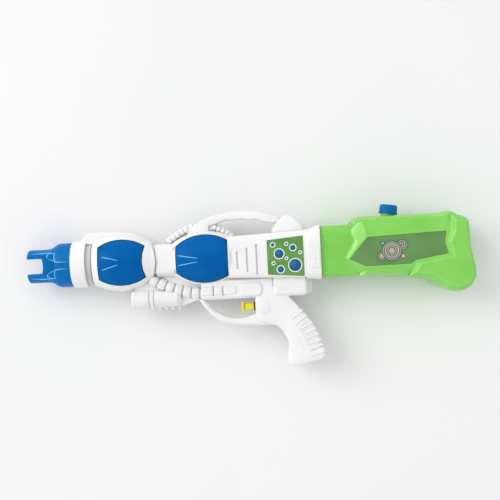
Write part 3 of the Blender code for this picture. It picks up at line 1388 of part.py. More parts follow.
def build_tubes(inlet, outlet, jet_floor):
    delivery = [
        outlet, outlet + Vector((0, VALVE_SPIGOT_LENGTH, 0)), outlet + Vector((0, 0.0090, 0)),
        outlet + Vector((-0.003, 0.0165, 0)), Vector((outlet.x - 0.014, -0.0050, 0)),
        Vector((outlet.x - 0.030, 0, 0)), Vector((RECEIVER_FRONT, 0, 0)),
        Vector((bulkhead, 0, 0)), Vector((jet_floor + FIT, 0, 0)),
    ]
    finish(hose("delivery", smooth_route(delivery, 2)), "delivery_tube", clear_tube)
    toe = Vector((butt_end - 0.018, BUTT_TOE + 0.010, 0))
    suction = [
        inlet, inlet + Vector((VALVE_SPIGOT_LENGTH, 0, 0)), inlet + Vector((0.0085, 0.0035, 0)),
        inlet + Vector((0.0060, 0.0120, 0)), inlet + Vector((-0.0005, 0.0190, 0)),
        Vector((inlet.x + 0.0005, BUNG_Y - 0.002, 0)),
        Vector((spigot_front - 0.004, BUNG_Y, 0)), Vector((spigot_front + 0.012, BUNG_Y, 0)),
        Vector((tank_front + 0.030, BUNG_Y - 0.001, 0)),
        Vector((tank_shoulder + 0.040, TANK_BOTTOM + 0.011, 0)),
        Vector((shelf_front + 0.023, TANK_BOTTOM + 0.006, 0)), (toe + Vector((-0.022, 0.010, 0))), toe,
    ]
    finish(hose("suction", smooth_route(suction, 2)), "suction_tube", clear_tube)


def tank_outline():
    """Side view of the tank behind its neck, clockwise from the neck's lower end."""
    rear = butt_end
    return [
        (tank_shoulder + 0.004, TANK_BOTTOM + 0.003, CORNER),
        (tank_shoulder - 0.001, TANK_TOP - 0.006),
        (tank_shoulder + 0.008, TANK_TOP, CORNER),
        (rear - 0.040, TANK_TOP),
        (rear - 0.0305, TANK_TOP + 0.0023),
        (rear - 0.020, TANK_TOP - 0.003),
        (rear - 0.0075, TANK_TOP - 0.0085),
        (rear - 0.006, TANK_TOP - 0.035),
        (rear - 0.0055, TANK_TOP - 0.055),
        (rear, BUTT_TOE + 0.022),
        (rear - 0.006, BUTT_TOE + 0.0065),
        (rear - 0.023, BUTT_TOE),
        (rear - 0.039, BUTT_TOE + 0.0040),
        (rear - 0.0585, TANK_BOTTOM - 0.0060, CORNER),
        (shelf_front + 0.006, TANK_BOTTOM - 0.0045, CORNER),
        (shelf_front, TANK_BOTTOM - 0.0012, CORNER),
    ]


def tank_label_outline():
    front = tank_shoulder - 0.0064
    return [
        (front, -0.0095), (front + 0.0235, 0.0168), (butt_front - 0.0019, 0.0200),
        (butt_front - 0.0044, 0.0060), (butt_front - 0.0009, -0.0076), (shelf_front + 0.0043, -0.0140),
        (shelf_front - 0.0024, -0.0183), (front + 0.0205, -0.0192),
    ]


def tank_sides(inset=0.0):
    """Faceted flanks: a wide loop at the tank's edge and the flat panel loop further out, on both sides."""
    front = tank_shoulder
    wide = [
        (front - 0.0135, -0.0098), (front - 0.0012, 0.0105), (front - 0.0056, 0.0255),
        (front + 0.0060, TANK_TOP - 0.0050),
        (butt_front + 0.0120, TANK_TOP - 0.0060), (butt_front + 0.0120, TANK_BOTTOM + 0.0040),
        (shelf_front + 0.0030, TANK_BOTTOM - 0.0010), (shelf_front - 0.0040, TANK_BOTTOM + 0.0010),
        (front + 0.0075, TANK_BOTTOM + 0.0040),
    ]
    panel = [
        (front - 0.0085, -0.0095), (front + 0.0060, 0.0070), (front + 0.0118, 0.0136), (front + 0.0160, 0.0183),
        (butt_front + 0.0090, 0.0215), (butt_front + 0.0090, -0.0120),
        (shelf_front + 0.0045, -0.0160), (shelf_front - 0.0020, -0.0203), (front + 0.0135, -0.0210),
    ]
    edge, face = TANK_EDGE_HALF - inset, TANK_PANEL_HALF - inset
    if inset:
        wide, panel = inset_loop(wide, inset), inset_loop(panel, inset)
    loops = [at_depth(panel, -face), at_depth(wide, -edge), at_depth(wide, edge), at_depth(panel, face)]
    return loft("tank_sides", loops)


def butt_pad(inset=0.0):
    """The thick butt and the shelf in front of its toe, with a chamfer all round."""
    front = butt_front
    rear = butt_end
    points = polygon([
        (shelf_front - 0.0050, TANK_BOTTOM - 0.0005), (shelf_front + 0.0045, -0.0150), (front, -0.0075),
        (front - 0.0030, 0.0060), (front + 0.0035, 0.0220), (rear - 0.0305, TANK_TOP - 0.0030),
        (rear - 0.0190, TANK_TOP - 0.0055), (rear - 0.0080, TANK_TOP - 0.0110), (rear - 0.0070, 0.0),
        (rear - 0.0020, BUTT_TOE + 0.0310), (rear - 0.0015, BUTT_TOE + 0.0190),
        (rear - 0.0090, BUTT_TOE + 0.0060), (rear - 0.0230, BUTT_TOE + 0.0010),
        (rear - 0.0385, BUTT_TOE + 0.0045), (rear - 0.0580, TANK_BOTTOM - 0.0050),
    ])
    return plate("butt_pad", points, BUTT_HALF - inset, BUTT_CHAMFER, inset=inset, edge_steps=0)


def tank_neck(inset=0.0):
    front = tank_front + (inset or 0.0)
    high, wide = TANK_NECK_HALF_HEIGHT - inset, TANK_NECK_HALF_WIDTH - inset
    return loft("tank_neck", [
        rounded_section(front, REAR_COLLAR_LIFT, high, wide, TANK_NECK_CORNER),
        rounded_section(tank_shoulder + 0.012, REAR_COLLAR_LIFT, high, wide, TANK_NECK_CORNER),
    ])


filler_foot = Vector((tank_shoulder + FILLER_SETBACK, TANK_TOP, 0.0))
filler_turn = Matrix.Rotation(-FILLER_LEAN, 4, "Z") @ Matrix.Rotation(math.pi / 2, 4, "Z")
filler_frame = Matrix.Translation(filler_foot) @ filler_turn


def on_filler(obj):
    """Stand a shape that was drawn along x on the filler neck's axis."""
    obj.data.transform(filler_frame)
    return obj


def build_tank():
    tank = plate("tank", tank_outline(), TANK_EDGE_HALF, TANK_EDGE_ROUND, steps=2)
    sink = 0.006
    neck = rod("filler_neck", (-sink, 0, 0), (FILLER_NECK_HEIGHT, 0, 0), FILLER_NECK_RADIUS, 20)
    join(tank, tank_neck(), tank_sides(), butt_pad(), tank_spigot(0.0, spigot_front, tank_front + WALL))
    join(tank, on_filler(neck))

    cavity = plate("tank_cavity", tank_outline(), TANK_EDGE_HALF - TANK_WALL, inset=TANK_WALL, steps=1)
    inner_high = TANK_SPIGOT_HALF_HEIGHT - TANK_GROOVE_DEPTH - TANK_WALL
    inner_wide = TANK_SPIGOT_HALF_WIDTH - TANK_GROOVE_DEPTH - TANK_WALL
    passage = loft("tank_passage", [
        rounded_section(spigot_front + TANK_WALL, REAR_COLLAR_LIFT, inner_high, inner_wide, 0.005),
        rounded_section(tank_front + 2 * TANK_WALL, REAR_COLLAR_LIFT, inner_high, inner_wide, 0.005),
    ])
    join(cavity, tank_neck(TANK_WALL), tank_sides(TANK_WALL), butt_pad(TANK_WALL), passage)
    join(cavity, on_filler(rod("filler_bore", (-3 * sink, 0, 0), (0.02, 0, 0), FILLER_NECK_BORE, 16)))
    bung_hole = ((spigot_front - WALL, BUNG_Y, 0), (spigot_front + 2 * WALL, BUNG_Y, 0))
    join(cavity, rod("bung_hole", *bung_hole, BUNG_RADIUS + FIT, 16))
    cut(tank, cavity)
    cut(tank, *panel_recess(tank_label_outline(), TANK_PANEL_HALF))
    finish(tank, "tank", green)

    bung_front = -FIT - BUNG_FLANGE_THICKNESS
    bung = turned("bung", [
        (bung_front, TUBE_RADIUS + FIT), (bung_front, BUNG_FLANGE_RADIUS),
        (-FIT, BUNG_FLANGE_RADIUS), (-FIT, BUNG_RADIUS), (2 * TANK_WALL, BUNG_RADIUS),
        (2 * TANK_WALL, TUBE_RADIUS + FIT),
    ], steps=12, ring=True)
    bung.location = (spigot_front, BUNG_Y, 0.0)
    finish(bung, "tank_bung", rubber)


def build_cap():
    """Knurled screw cap and its sealing disc, drawn along x from the filler neck's foot."""
    roof = FILLER_NECK_HEIGHT + FIT + LINER_THICKNESS + FIT
    inner = FILLER_NECK_RADIUS + SLIDE_FIT
    body = CAP_RADIUS - CAP_RIB_HEIGHT
    cap = turned("cap", [
        (CAP_SEAT, inner), (CAP_SEAT, CAP_FLANGE_RADIUS), (CAP_SEAT + CAP_FLANGE_HEIGHT, CAP_FLANGE_RADIUS),
        (CAP_SEAT + CAP_FLANGE_HEIGHT, body), (roof + CAP_TOP - CAP_EDGE, body),
        (roof + CAP_TOP, body - CAP_EDGE), (roof + CAP_TOP, 0.0), (roof, 0.0), (roof, inner),
    ], steps=CAP_RIB_COUNT, ring=True)
    rib_radius = math.pi * CAP_RADIUS / CAP_RIB_COUNT * 0.55
    rib_y = body - rib_radius / 3
    rib_foot = CAP_SEAT + CAP_FLANGE_HEIGHT / 2
    rib_top = roof + CAP_TOP - CAP_EDGE - FIT
    rib = rod("cap_rib", (rib_foot, rib_y, 0), (rib_top, rib_y, 0), rib_radius, 5)
    for i in range(CAP_RIB_COUNT):
        twin = copy_of(rib, "cap_rib_copy")
        twin.data.transform(Matrix.Rotation(2 * math.pi * (i + 0.5) / CAP_RIB_COUNT, 4, "X"))
        join(cap, twin)
    bpy.data.objects.remove(rib, do_unlink=True)
    cap.matrix_world = filler_frame
    finish(cap, "filler_cap", blue)
    liner_low = FILLER_NECK_HEIGHT + FIT
    liner = rod("liner", (liner_low, 0, 0), (liner_low + LINER_THICKNESS, 0, 0), FILLER_NECK_RADIUS, 16)
    liner.matrix_world = filler_frame
    finish(liner, "cap_liner", rubber)


def build_label(name, points, face):
    bottom = face - LABEL_RECESS + FIT
    loops = [at_depth(points, bottom), at_depth(points, bottom + LABEL_THICKNESS)]
    finish(loft(name, loops), name, film)


build_shells()
build_screws()
build_bulbs("front_bulb", front_housing, front_window)
build_bulbs("rear_bulb", rear_housing, rear_window)
jet_floor = build_nozzle()
push_face = build_trigger()
build_pump(push_face)
inlet_end, outlet_end = build_valves()
build_tubes(inlet_end, outlet_end, jet_floor)
build_tank()
build_cap()
build_label("receiver_label", receiver_label_outline(), RECEIVER_HALF_WIDTH)
build_label("tank_label", tank_label_outline(), TANK_PANEL_HALF)

# Put the origin under the middle of the squirter, on the surface that it lies on
bpy.context.view_layer.update()
corners = [
    piece.matrix_world @ Vector(corner)
    for piece in parts.objects if piece.type == "MESH"
    for corner in piece.bound_box
]
low = Vector(min(corner[axis] for corner in corners) for axis in range(3))
high = Vector(max(corner[axis] for corner in corners) for axis in range(3))
root.location = (-(low.x + high.x) / 2, -(low.y + high.y) / 2, -low.z)
bpy.context.view_layer.update()
print("size", [round(value, 5) for value in high - low])
print("moved by", [round(value, 6) for value in root.location])
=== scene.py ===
import json
import math
import bpy
import bmesh
from mathutils import Matrix, Vector
from mathutils.bvhtree import BVHTree

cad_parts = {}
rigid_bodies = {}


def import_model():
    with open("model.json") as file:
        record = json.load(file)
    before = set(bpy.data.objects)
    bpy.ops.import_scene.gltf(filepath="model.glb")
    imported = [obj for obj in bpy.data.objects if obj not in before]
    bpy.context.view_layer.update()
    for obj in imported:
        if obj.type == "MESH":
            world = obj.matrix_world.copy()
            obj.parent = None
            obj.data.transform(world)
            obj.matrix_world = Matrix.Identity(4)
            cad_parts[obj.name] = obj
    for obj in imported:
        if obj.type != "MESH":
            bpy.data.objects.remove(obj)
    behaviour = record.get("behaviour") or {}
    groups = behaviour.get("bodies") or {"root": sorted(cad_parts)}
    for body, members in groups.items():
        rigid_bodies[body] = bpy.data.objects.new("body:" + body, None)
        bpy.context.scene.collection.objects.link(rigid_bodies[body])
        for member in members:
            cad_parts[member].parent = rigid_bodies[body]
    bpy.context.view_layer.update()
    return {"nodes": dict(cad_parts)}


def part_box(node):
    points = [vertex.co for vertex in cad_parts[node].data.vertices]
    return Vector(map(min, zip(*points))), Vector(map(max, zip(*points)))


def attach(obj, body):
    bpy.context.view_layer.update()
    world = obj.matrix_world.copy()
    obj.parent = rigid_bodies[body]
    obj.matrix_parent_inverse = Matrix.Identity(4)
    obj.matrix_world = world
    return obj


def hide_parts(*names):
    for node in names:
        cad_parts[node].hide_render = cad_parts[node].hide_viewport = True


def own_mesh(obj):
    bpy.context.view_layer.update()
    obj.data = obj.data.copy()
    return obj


for leftover in list(bpy.data.objects):
    bpy.data.objects.remove(leftover, do_unlink=True)
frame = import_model()
nodes = frame["nodes"]
stageScene = bpy.context.scene
stageScene.view_settings.view_transform = "Standard"

nozzleLow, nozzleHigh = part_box("nozzle")
axisY = (nozzleLow.y + nozzleHigh.y) / 2  # the barrel's axis, and the plane where the halves meet
axisZ = (nozzleLow.z + nozzleHigh.z) / 2
print("frame loaded, barrel axis at", round(axisY, 5), round(axisZ, 5))


def spot(x, y, z=0.0):  # a point given from the barrel's axis
    return Vector((x, y + axisY, z + axisZ))


def onSide(points, side):  # such points on one half of the squirter, 1 left and -1 right
    return [spot(here.x, here.y, side * here.z) for here in points]


# a value in a node tree, so that shader maths reads as Python
class Wire:
    def __init__(self, tree, socket):
        self.tree = tree
        self.socket = socket

    def node(self, kind, settings=None, values=None, out=0):
        made = self.tree.nodes.new(kind)
        for key, value in (settings or {}).items():
            setattr(made, key, value)
        for key, value in (values or {}).items():
            if isinstance(value, Wire):
                self.tree.links.new(value.socket, made.inputs[key])
            else:
                made.inputs[key].default_value = value
        return Wire(self.tree, made.outputs[out])

    def maths(self, operation, first, second):
        return self.node("ShaderNodeMath", {"operation": operation}, {0: first, 1: second})

    def __add__(self, other):
        return self.maths("ADD", self, other)

    def __radd__(self, other):
        return self.maths("ADD", other, self)

    def __sub__(self, other):
        return self.maths("SUBTRACT", self, other)

    def __rsub__(self, other):
        return self.maths("SUBTRACT", other, self)

    def __mul__(self, other):
        return self.maths("MULTIPLY", self, other)

    def __rmul__(self, other):
        return self.maths("MULTIPLY", other, self)

    def __pow__(self, other):
        return self.maths("POWER", self, other)

    def step(self, low, high):  # 0 below low, 1 above high, smooth between
        return self.node(
            "ShaderNodeMapRange", {"interpolation_type": "SMOOTHSTEP"},
            {0: self, 1: low, 2: high, 3: 0.0, 4: 1.0},
        )

    def mixed(self, first, second):  # colours, by this value
        return self.node("ShaderNodeMix", {"data_type": "RGBA"}, {0: self, 6: first, 7: second}, out=2)


def rgba(colour):
    return (*colour, 1.0)


class Finish:
    def __init__(self, name):
        self.material = bpy.data.materials.new(name)
        self.material.use_nodes = True
        self.tree = self.material.node_tree
        self.shader = self.tree.nodes["Principled BSDF"]
        self.start = Wire(self.tree, None)
        self.place = self.node("ShaderNodeTexCoord", out=3)

    def node(self, kind, settings=None, values=None, out=0):
        return self.start.node(kind, settings, values, out)

    def plan(self):  # x and y of the surface point
        parts = self.node("ShaderNodeSeparateXYZ", values={0: self.place}).socket.node
        return [Wire(self.tree, parts.outputs[i]) for i in range(2)]

    def noise(self, scale, detail=2.0, rough=0.5):
        return self.node(
            "ShaderNodeTexNoise", None,
            {"Vector": self.place, "Scale": scale, "Detail": detail, "Roughness": rough},
        )

    def set(self, **sockets):
        for name, value in sockets.items():
            socket = self.shader.inputs[name.replace("_", " ")]
            if isinstance(value, Wire):
                self.tree.links.new(value.socket, socket)
            else:
                socket.default_value = value

    def relief(self, height, strength, distance, edge=0.0):  # bump over rounded edges
        values = {"Strength": strength, "Distance": distance, "Height": height}
        if edge:
            values["Normal"] = self.rounded(edge)
        self.set(Normal=self.node("ShaderNodeBump", None, values))

    def rounded(self, radius):  # the surface's normal with its edges rounded off
        return self.node("ShaderNodeBevel", {"samples": 6}, {"Radius": radius})


print("shader tools ready")


# colours go from deep to base over a moulding, and to a painted shade colour in its hollows and joins
plasticLooks = {
    "white": {
        "base": (0.90, 0.90, 0.89), "deep": (0.85, 0.85, 0.845), "cavity": (0.58, 0.58, 0.575),
        "rough": 0.40, "shine": 0.40, "edge": 0.0007,
    },
    "blue": {
        "base": (0.0005, 0.172, 0.505), "deep": (0.0004, 0.136, 0.425), "cavity": (0.0003, 0.055, 0.210),
        "rough": 0.36, "shine": 0.10, "edge": 0.0006, "edgeHighlight": (0.02, 0.27, 0.64), "edgeHighlightRadius": 0.0008,
    },
    "bulb": {
        "base": (0.0005, 0.132, 0.440), "deep": (0.0003, 0.108, 0.375), "cavity": (0.0002, 0.045, 0.190),
        "rough": 0.34, "shine": 0.05, "edge": 0.0006,
    },
    # painted highlight: pale blue for the beads on the bulb creases and the nozzle ridges
    "crease": {
        "base": (0.26, 0.70, 0.97), "deep": (0.14, 0.55, 0.88), "cavity": (0.004, 0.14, 0.42),
        "rough": 0.25, "shine": 0.6, "edge": 0.0003,
    },
    # painted shade: grey for the front band, and near black for the ring behind it as painted shadow
    "band": {
        "base": (0.66, 0.66, 0.65), "deep": (0.58, 0.58, 0.575), "cavity": (0.30, 0.29, 0.285),
        "rough": 0.45, "shine": 0.3, "edge": 0.0004,
    },
    "gap": {
        "base": (0.27, 0.25, 0.24), "deep": (0.21, 0.20, 0.19), "cavity": (0.10, 0.09, 0.09),
        "rough": 0.55, "shine": 0.2, "edge": 0.0003,
    },
    "green": {
        "base": (0.235, 0.660, 0.100), "deep": (0.195, 0.590, 0.075), "cavity": (0.085, 0.330, 0.030),
        "rough": 0.27, "shine": 0.60, "edge": 0.0016, "edgeHighlight": (0.36, 0.79, 0.20), "edgeHighlightRadius": 0.0030,
    },
    "greenHighlight": {
        "base": (0.370, 0.800, 0.200), "deep": (0.310, 0.735, 0.150), "cavity": (0.105, 0.380, 0.040),
        "rough": 0.27, "shine": 0.60, "edge": 0.0012,
    },
    # painted shadow: dark red-brown for the ring round the trigger's slot
    "slotShadow": {
        "base": (0.30, 0.075, 0.016), "deep": (0.22, 0.050, 0.010), "cavity": (0.10, 0.020, 0.005),
        "rough": 0.50, "shine": 0.2, "edge": 0.0003,
    },
    "yellow": {
        "base": (0.95, 0.86, 0.07), "deep": (0.88, 0.76, 0.04), "cavity": (0.55, 0.34, 0.02),
        "rough": 0.38, "shine": 0.35, "edge": 0.0005,
    },
}
plasticGrain = {
    "cloud": 34.0, "flow": 7.0, "scuff": 420.0, "patches": 26.0, "grain": 2600.0,  # scales of the noises
    "cloudRough": 0.05, "scuffRough": 0.10, "bump": 0.05, "bumpDepth": 0.0004, "cavityReach": 0.006,
    "ior": 1.49,
    # where each blend starts and ends
    "patchBlend": (0.52, 0.70), "scuffBlend": (0.60, 0.74), "shadeBlend": (0.34, 0.66),
    "cavityBlend": (0.10, 0.88), "edgeHighlightBlend": (0.004, 0.07), "openBlend": (0.90, 0.99),
}


def mouldedPlastic(name, look):
    finish = Finish(name)
    scales = plasticGrain
    cloud = finish.noise(scales["cloud"], 3.0)  # slow change of shade over a moulding
    flow = finish.noise(scales["flow"], 1.0)
    patches = finish.noise(scales["patches"]).step(*scales["patchBlend"])
    scuff = finish.noise(scales["scuff"], 2.0, 0.6).step(*scales["scuffBlend"]) * patches
    grain = finish.noise(scales["grain"], 1.0)
    shade = (cloud * 0.6 + flow * 0.4).step(*scales["shadeBlend"])
    # painted shade: ambient occlusion finds places near other surfaces, and the colour is darkened there
    reach = {"Distance": scales["cavityReach"]}
    opening = finish.node("ShaderNodeAmbientOcclusion", {"samples": 8}, reach, out=1)
    colour = shade.mixed(rgba(look["deep"]), rgba(look["base"]))
    paintedShadeMask = opening.step(*scales["cavityBlend"])
    colour = paintedShadeMask.mixed(rgba(look["cavity"]), colour)  # painted shade in the hollows and joins
    if "edgeHighlight" in look:  # painted highlight: outer edges are painted paler, except where occluded
        normals = {0: finish.rounded(look["edgeHighlightRadius"]), 1: finish.node("ShaderNodeNewGeometry", out=1)}
        turned = finish.node("ShaderNodeVectorMath", {"operation": "DOT_PRODUCT"}, normals, out=1)
        # painted highlight mask: convex edges, where the rounded normal turns away from the true one
        edges = (1.0 - turned).step(*scales["edgeHighlightBlend"]) * opening.step(*scales["openBlend"])
        colour = (edges * (0.55 + 0.45 * shade)).mixed(colour, rgba(look["edgeHighlight"]))
    dull = look["rough"] + scales["cloudRough"] * (cloud - 0.5) + scuff * scales["scuffRough"]
    finish.set(Base_Color=colour, Roughness=dull, IOR=scales["ior"], Specular_IOR_Level=look["shine"])
    finish.relief(grain * 0.5 + cloud * 0.5, scales["bump"], scales["bumpDepth"], look["edge"])
    return finish.material


white = mouldedPlastic("white_moulding", plasticLooks["white"])
blue = mouldedPlastic("blue_moulding", plasticLooks["blue"])
green = mouldedPlastic("green_moulding", plasticLooks["green"])
highlightGreen = mouldedPlastic("green_painted_highlight", plasticLooks["greenHighlight"])  # painted highlight: a lighter green for the shoulder facets and nubs, which catch the light
yellow = mouldedPlastic("yellow_moulding", plasticLooks["yellow"])
bulbBlue = mouldedPlastic("blue_dome", plasticLooks["bulb"])
crease = mouldedPlastic("blue_crease_painted_highlight", plasticLooks["crease"])
bandShade = mouldedPlastic("band_painted_shade", plasticLooks["band"])
gapShadow = mouldedPlastic("gap_painted_shadow", plasticLooks["gap"])
slotShadowBrown = mouldedPlastic("trigger_slot_painted_shadow", plasticLooks["slotShadow"])

plainLooks = {
    "vinyl": {"base": (0.62, 0.66, 0.66), "rough": 0.22, "metal": 0.0, "scale": 160.0},
    "natural": {"base": (0.70, 0.70, 0.66), "rough": 0.45, "metal": 0.0, "scale": 90.0},
    "rubber": {"base": (0.022, 0.022, 0.024), "rough": 0.62, "metal": 0.0, "scale": 500.0},
    "steel": {"base": (0.56, 0.56, 0.58), "rough": 0.28, "metal": 1.0, "scale": 700.0},
}
plainGrain = {"darker": 0.86, "blend": (0.35, 0.65), "speckleRough": 0.10, "bump": 0.08, "bumpDepth": 0.0003}


def plainFinish(name, look):
    finish = Finish(name)
    speckle = finish.noise(look["scale"], 3.0)
    low = tuple(part * plainGrain["darker"] for part in look["base"])
    colour = speckle.step(*plainGrain["blend"]).mixed(rgba(low), rgba(look["base"]))
    dull = look["rough"] + plainGrain["speckleRough"] * (speckle - 0.5)
    finish.set(Base_Color=colour, Roughness=dull, Metallic=look["metal"])
    finish.relief(speckle, plainGrain["bump"], plainGrain["bumpDepth"])
    return finish.material


vinyl = plainFinish("clear_vinyl", plainLooks["vinyl"])
natural = plainFinish("natural_moulding", plainLooks["natural"])
rubber = plainFinish("seal_rubber", plainLooks["rubber"])
steel = plainFinish("bright_steel", plainLooks["steel"])

receiverPrint = {
    "ground": (0.105, 0.275, 0.050), "shade": (0.135, 0.325, 0.065), "disc": (0.010, 0.145, 0.330),
    "deep": (0.004, 0.080, 0.215), "outline": (0.86, 0.95, 0.95), "rim": 0.0011, "blur": 0.0001,
    "cloud": 60.0, "glowPlace": 0.25, "glowBlend": (0.28, 0.70),  # glow in shares of a bubble's radius
    # bubbles: x, y from the barrel's axis, radius
    "bubbles": (
        (0.0555, -0.0135, 0.0088), (0.0372, -0.0180, 0.0052), (0.0360, 0.0015, 0.0068),
        (0.0535, 0.0085, 0.0046), (0.0455, 0.0135, 0.0026), (0.0285, -0.0100, 0.0025),
        (0.0285, 0.0130, 0.0034), (0.0450, -0.0045, 0.0022), (0.0625, 0.0020, 0.0024),
    ),
}
tankPrint = {
    "ground": (0.130, 0.290, 0.085), "shade": (0.110, 0.255, 0.070), "teal": (0.235, 0.400, 0.370),
    "dark": (0.016, 0.026, 0.020), "tan": (0.62, 0.40, 0.235), "line": 0.0008, "blur": 0.00012,
    "cloud": 38.0,
    # ripples: x, y from the barrel's axis, then the outer radius and colour of each ring from the outside in
    "ripples": (
        (0.1900, 0.0055, ((0.0062, "teal"), (0.0038, "tan"), (0.0016, "teal"))),
        (0.1640, -0.0075, ((0.0052, "teal"), (0.0030, "tan"))),
        (0.1765, -0.0015, ((0.0118, "teal"), (0.0092, "tan"), (0.0064, "teal"), (0.0036, "tan"))),
        (0.1905, -0.0085, ((0.0026, "tan"),)),
        (0.1655, 0.0085, ((0.0021, "teal"),)),
    ),
}
filmGrain = {
    "fibre": 1800.0, "rough": 0.38, "fibreRough": 0.06, "bump": 0.04, "bumpDepth": 0.0002, "edge": 0.0003,
    "cloudBlend": (0.35, 0.65),
}


def filmGround(finish, look):  # the cloudy ground that the marks are printed on
    cloud = finish.noise(look["cloud"], 2.0).step(*filmGrain["cloudBlend"])
    return cloud.mixed(rgba(look["ground"]), rgba(look["shade"]))


def filmFinish(finish, colour):  # the film's own gloss and fibres under the print
    fibre = finish.noise(filmGrain["fibre"], 2.0)
    dull = filmGrain["rough"] + filmGrain["fibreRough"] * (fibre - 0.5)
    finish.set(Base_Color=colour, Roughness=dull)
    finish.relief(fibre, filmGrain["bump"], filmGrain["bumpDepth"], filmGrain["edge"])
    return finish.material


def measured(x, y, midX, midY):  # how far across, up and away from a mark's middle
    across = x - midX
    up = y - (midY + axisY)
    return across, up, (across * across + up * up) ** 0.5


def inside(away, radius, blur):  # 1 within a radius, with a slightly soft edge
    return 1.0 - away.step(radius - blur, radius + blur)


def receiverFilm(look):
    finish = Finish("receiver_print")
    x, y = finish.plan()
    colour = filmGround(finish, look)
    for bubbleX, bubbleY, radius in look["bubbles"]:
        across, up, away = measured(x, y, bubbleX, bubbleY)
        # a paler spot off the middle, towards the upper left
        shift = radius * look["glowPlace"]
        off = ((across + shift) ** 2.0 + (up - shift) ** 2.0) ** 0.5
        glow = 1.0 - off.step(*(radius * share for share in look["glowBlend"]))
        fill = glow.mixed(rgba(look["deep"]), rgba(look["disc"]))
        colour = inside(away, radius, look["blur"]).mixed(colour, rgba(look["outline"]))
        colour = inside(away, radius - look["rim"], look["blur"]).mixed(colour, fill)
    return filmFinish(finish, colour)


def tankFilm(look):
    finish = Finish("tank_print")
    x, y = finish.plan()
    colour = filmGround(finish, look)
    for rippleX, rippleY, rings in look["ripples"]:
        away = measured(x, y, rippleX, rippleY)[2]
        for radius, tone in rings:  # each ring has a dark line round it
            for reach, fill in ((radius + look["line"], "dark"), (radius, tone)):
                colour = inside(away, reach, look["blur"]).mixed(colour, rgba(look[fill]))
    return filmFinish(finish, colour)


receiverLabel = receiverFilm(receiverPrint)
tankLabel = tankFilm(tankPrint)
print("finishes made")


# CAD pieces are welded and smoothed by a modifier, so that their own meshes stay as they are
smoothing = {"weld": 0.00001, "angle": math.radians(32), "facet": math.radians(12)}


def smoothGroup(name, limit):
    group = bpy.data.node_groups.new(name, "GeometryNodeTree")
    group.interface.new_socket("Geometry", in_out="INPUT", socket_type="NodeSocketGeometry")
    group.interface.new_socket("Geometry", in_out="OUTPUT", socket_type="NodeSocketGeometry")
    enter = group.nodes.new("NodeGroupInput")
    leave = group.nodes.new("NodeGroupOutput")
    strip = group.nodes.new("GeometryNodeRemoveAttribute")
    strip.inputs["Name"].default_value = "custom_normal"
    weld = group.nodes.new("GeometryNodeMergeByDistance")
    weld.inputs["Distance"].default_value = smoothing["weld"]
    soft = group.nodes.new("GeometryNodeSetShadeSmooth")
    soft.domain = "FACE"
    angle = group.nodes.new("GeometryNodeInputMeshEdgeAngle")
    gentle = group.nodes.new("FunctionNodeCompare")
    gentle.data_type = "FLOAT"
    gentle.operation = "LESS_EQUAL"
    gentle.inputs[1].default_value = limit
    sharp = group.nodes.new("GeometryNodeSetShadeSmooth")
    sharp.domain = "EDGE"
    link = group.links.new
    link(enter.outputs[0], strip.inputs["Geometry"])
    link(strip.outputs[0], weld.inputs["Geometry"])
    link(weld.outputs[0], soft.inputs["Geometry"])
    link(soft.outputs[0], sharp.inputs["Geometry"])
    link(angle.outputs["Unsigned Angle"], gentle.inputs[0])
    link(gentle.outputs[0], sharp.inputs["Shade Smooth"])
    link(sharp.outputs[0], leave.inputs[0])
    return group


smoothTree = smoothGroup("smooth_mouldings", smoothing["angle"])
facetTree = smoothGroup("smooth_facets", smoothing["facet"])  # the tank keeps its creases
dressing = (
    (white, ("left_shell", "right_shell")),
    (blue, ("nozzle",)),
    (green, ("tank",)),
    (receiverLabel, ("receiver_label",)),
    (tankLabel, ("tank_label",)),
    (natural, ("jet_insert", "piston", "pump_cylinder", "valve_block", "inlet_seat", "outlet_spigot")),
    (rubber, ("jet_seal", "piston_seal", "tank_bung", "cap_liner")),
    (steel, ("inlet_ball", "outlet_ball")),
)
for material, members in dressing:
    for member in members:
        node = nodes[member]
        node.data.materials.clear()
        node.data.materials.append(material)
        modifier = node.modifiers.new("smooth", "NODES")
        modifier.node_group = facetTree if member == "tank" else smoothTree
print("CAD pieces dressed")


sides = (("left", 1), ("right", -1))
farOff = 0.2  # well outside the squirter


def addPiece(name, mesh, material, body, slotName, *standsFor):
    piece = bpy.data.objects.new(name, mesh)
    stageScene.collection.objects.link(piece)
    mesh.materials.clear()
    mesh.materials.append(material)
    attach(piece, body)
    if standsFor:
        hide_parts(*standsFor)
    return piece


def bothSides(baseName, maker, material, slotName):  # one piece on each half of the squirter
    for sideName, side in sides:
        name = f"{baseName}_{sideName}"
        addPiece(name, maker(name, side), material, "squirter", slotName)


def meshFrom(name, shape, smoothAngle=40):
    bmesh.ops.remove_doubles(shape, verts=shape.verts, dist=0.000002)
    bmesh.ops.recalc_face_normals(shape, faces=shape.faces)
    mesh = bpy.data.meshes.new(name)
    shape.to_mesh(mesh)
    shape.free()
    mesh.shade_smooth()
    mesh.set_sharp_from_angle(angle=math.radians(smoothAngle))
    return mesh


def skin(shape, rows, closedAcross=False, closedAlong=False):  # quads over rows of points
    made = [[shape.verts.new(point) for point in row] for row in rows]
    count = len(made[0])
    alongPairs = list(zip(made, made[1:])) + ([(made[-1], made[0])] if closedAlong else [])
    for near, far in alongPairs:
        for i in range(count if closedAcross else count - 1):
            j = (i + 1) % count
            shape.faces.new((near[i], near[j], far[j], far[i]))
    return made


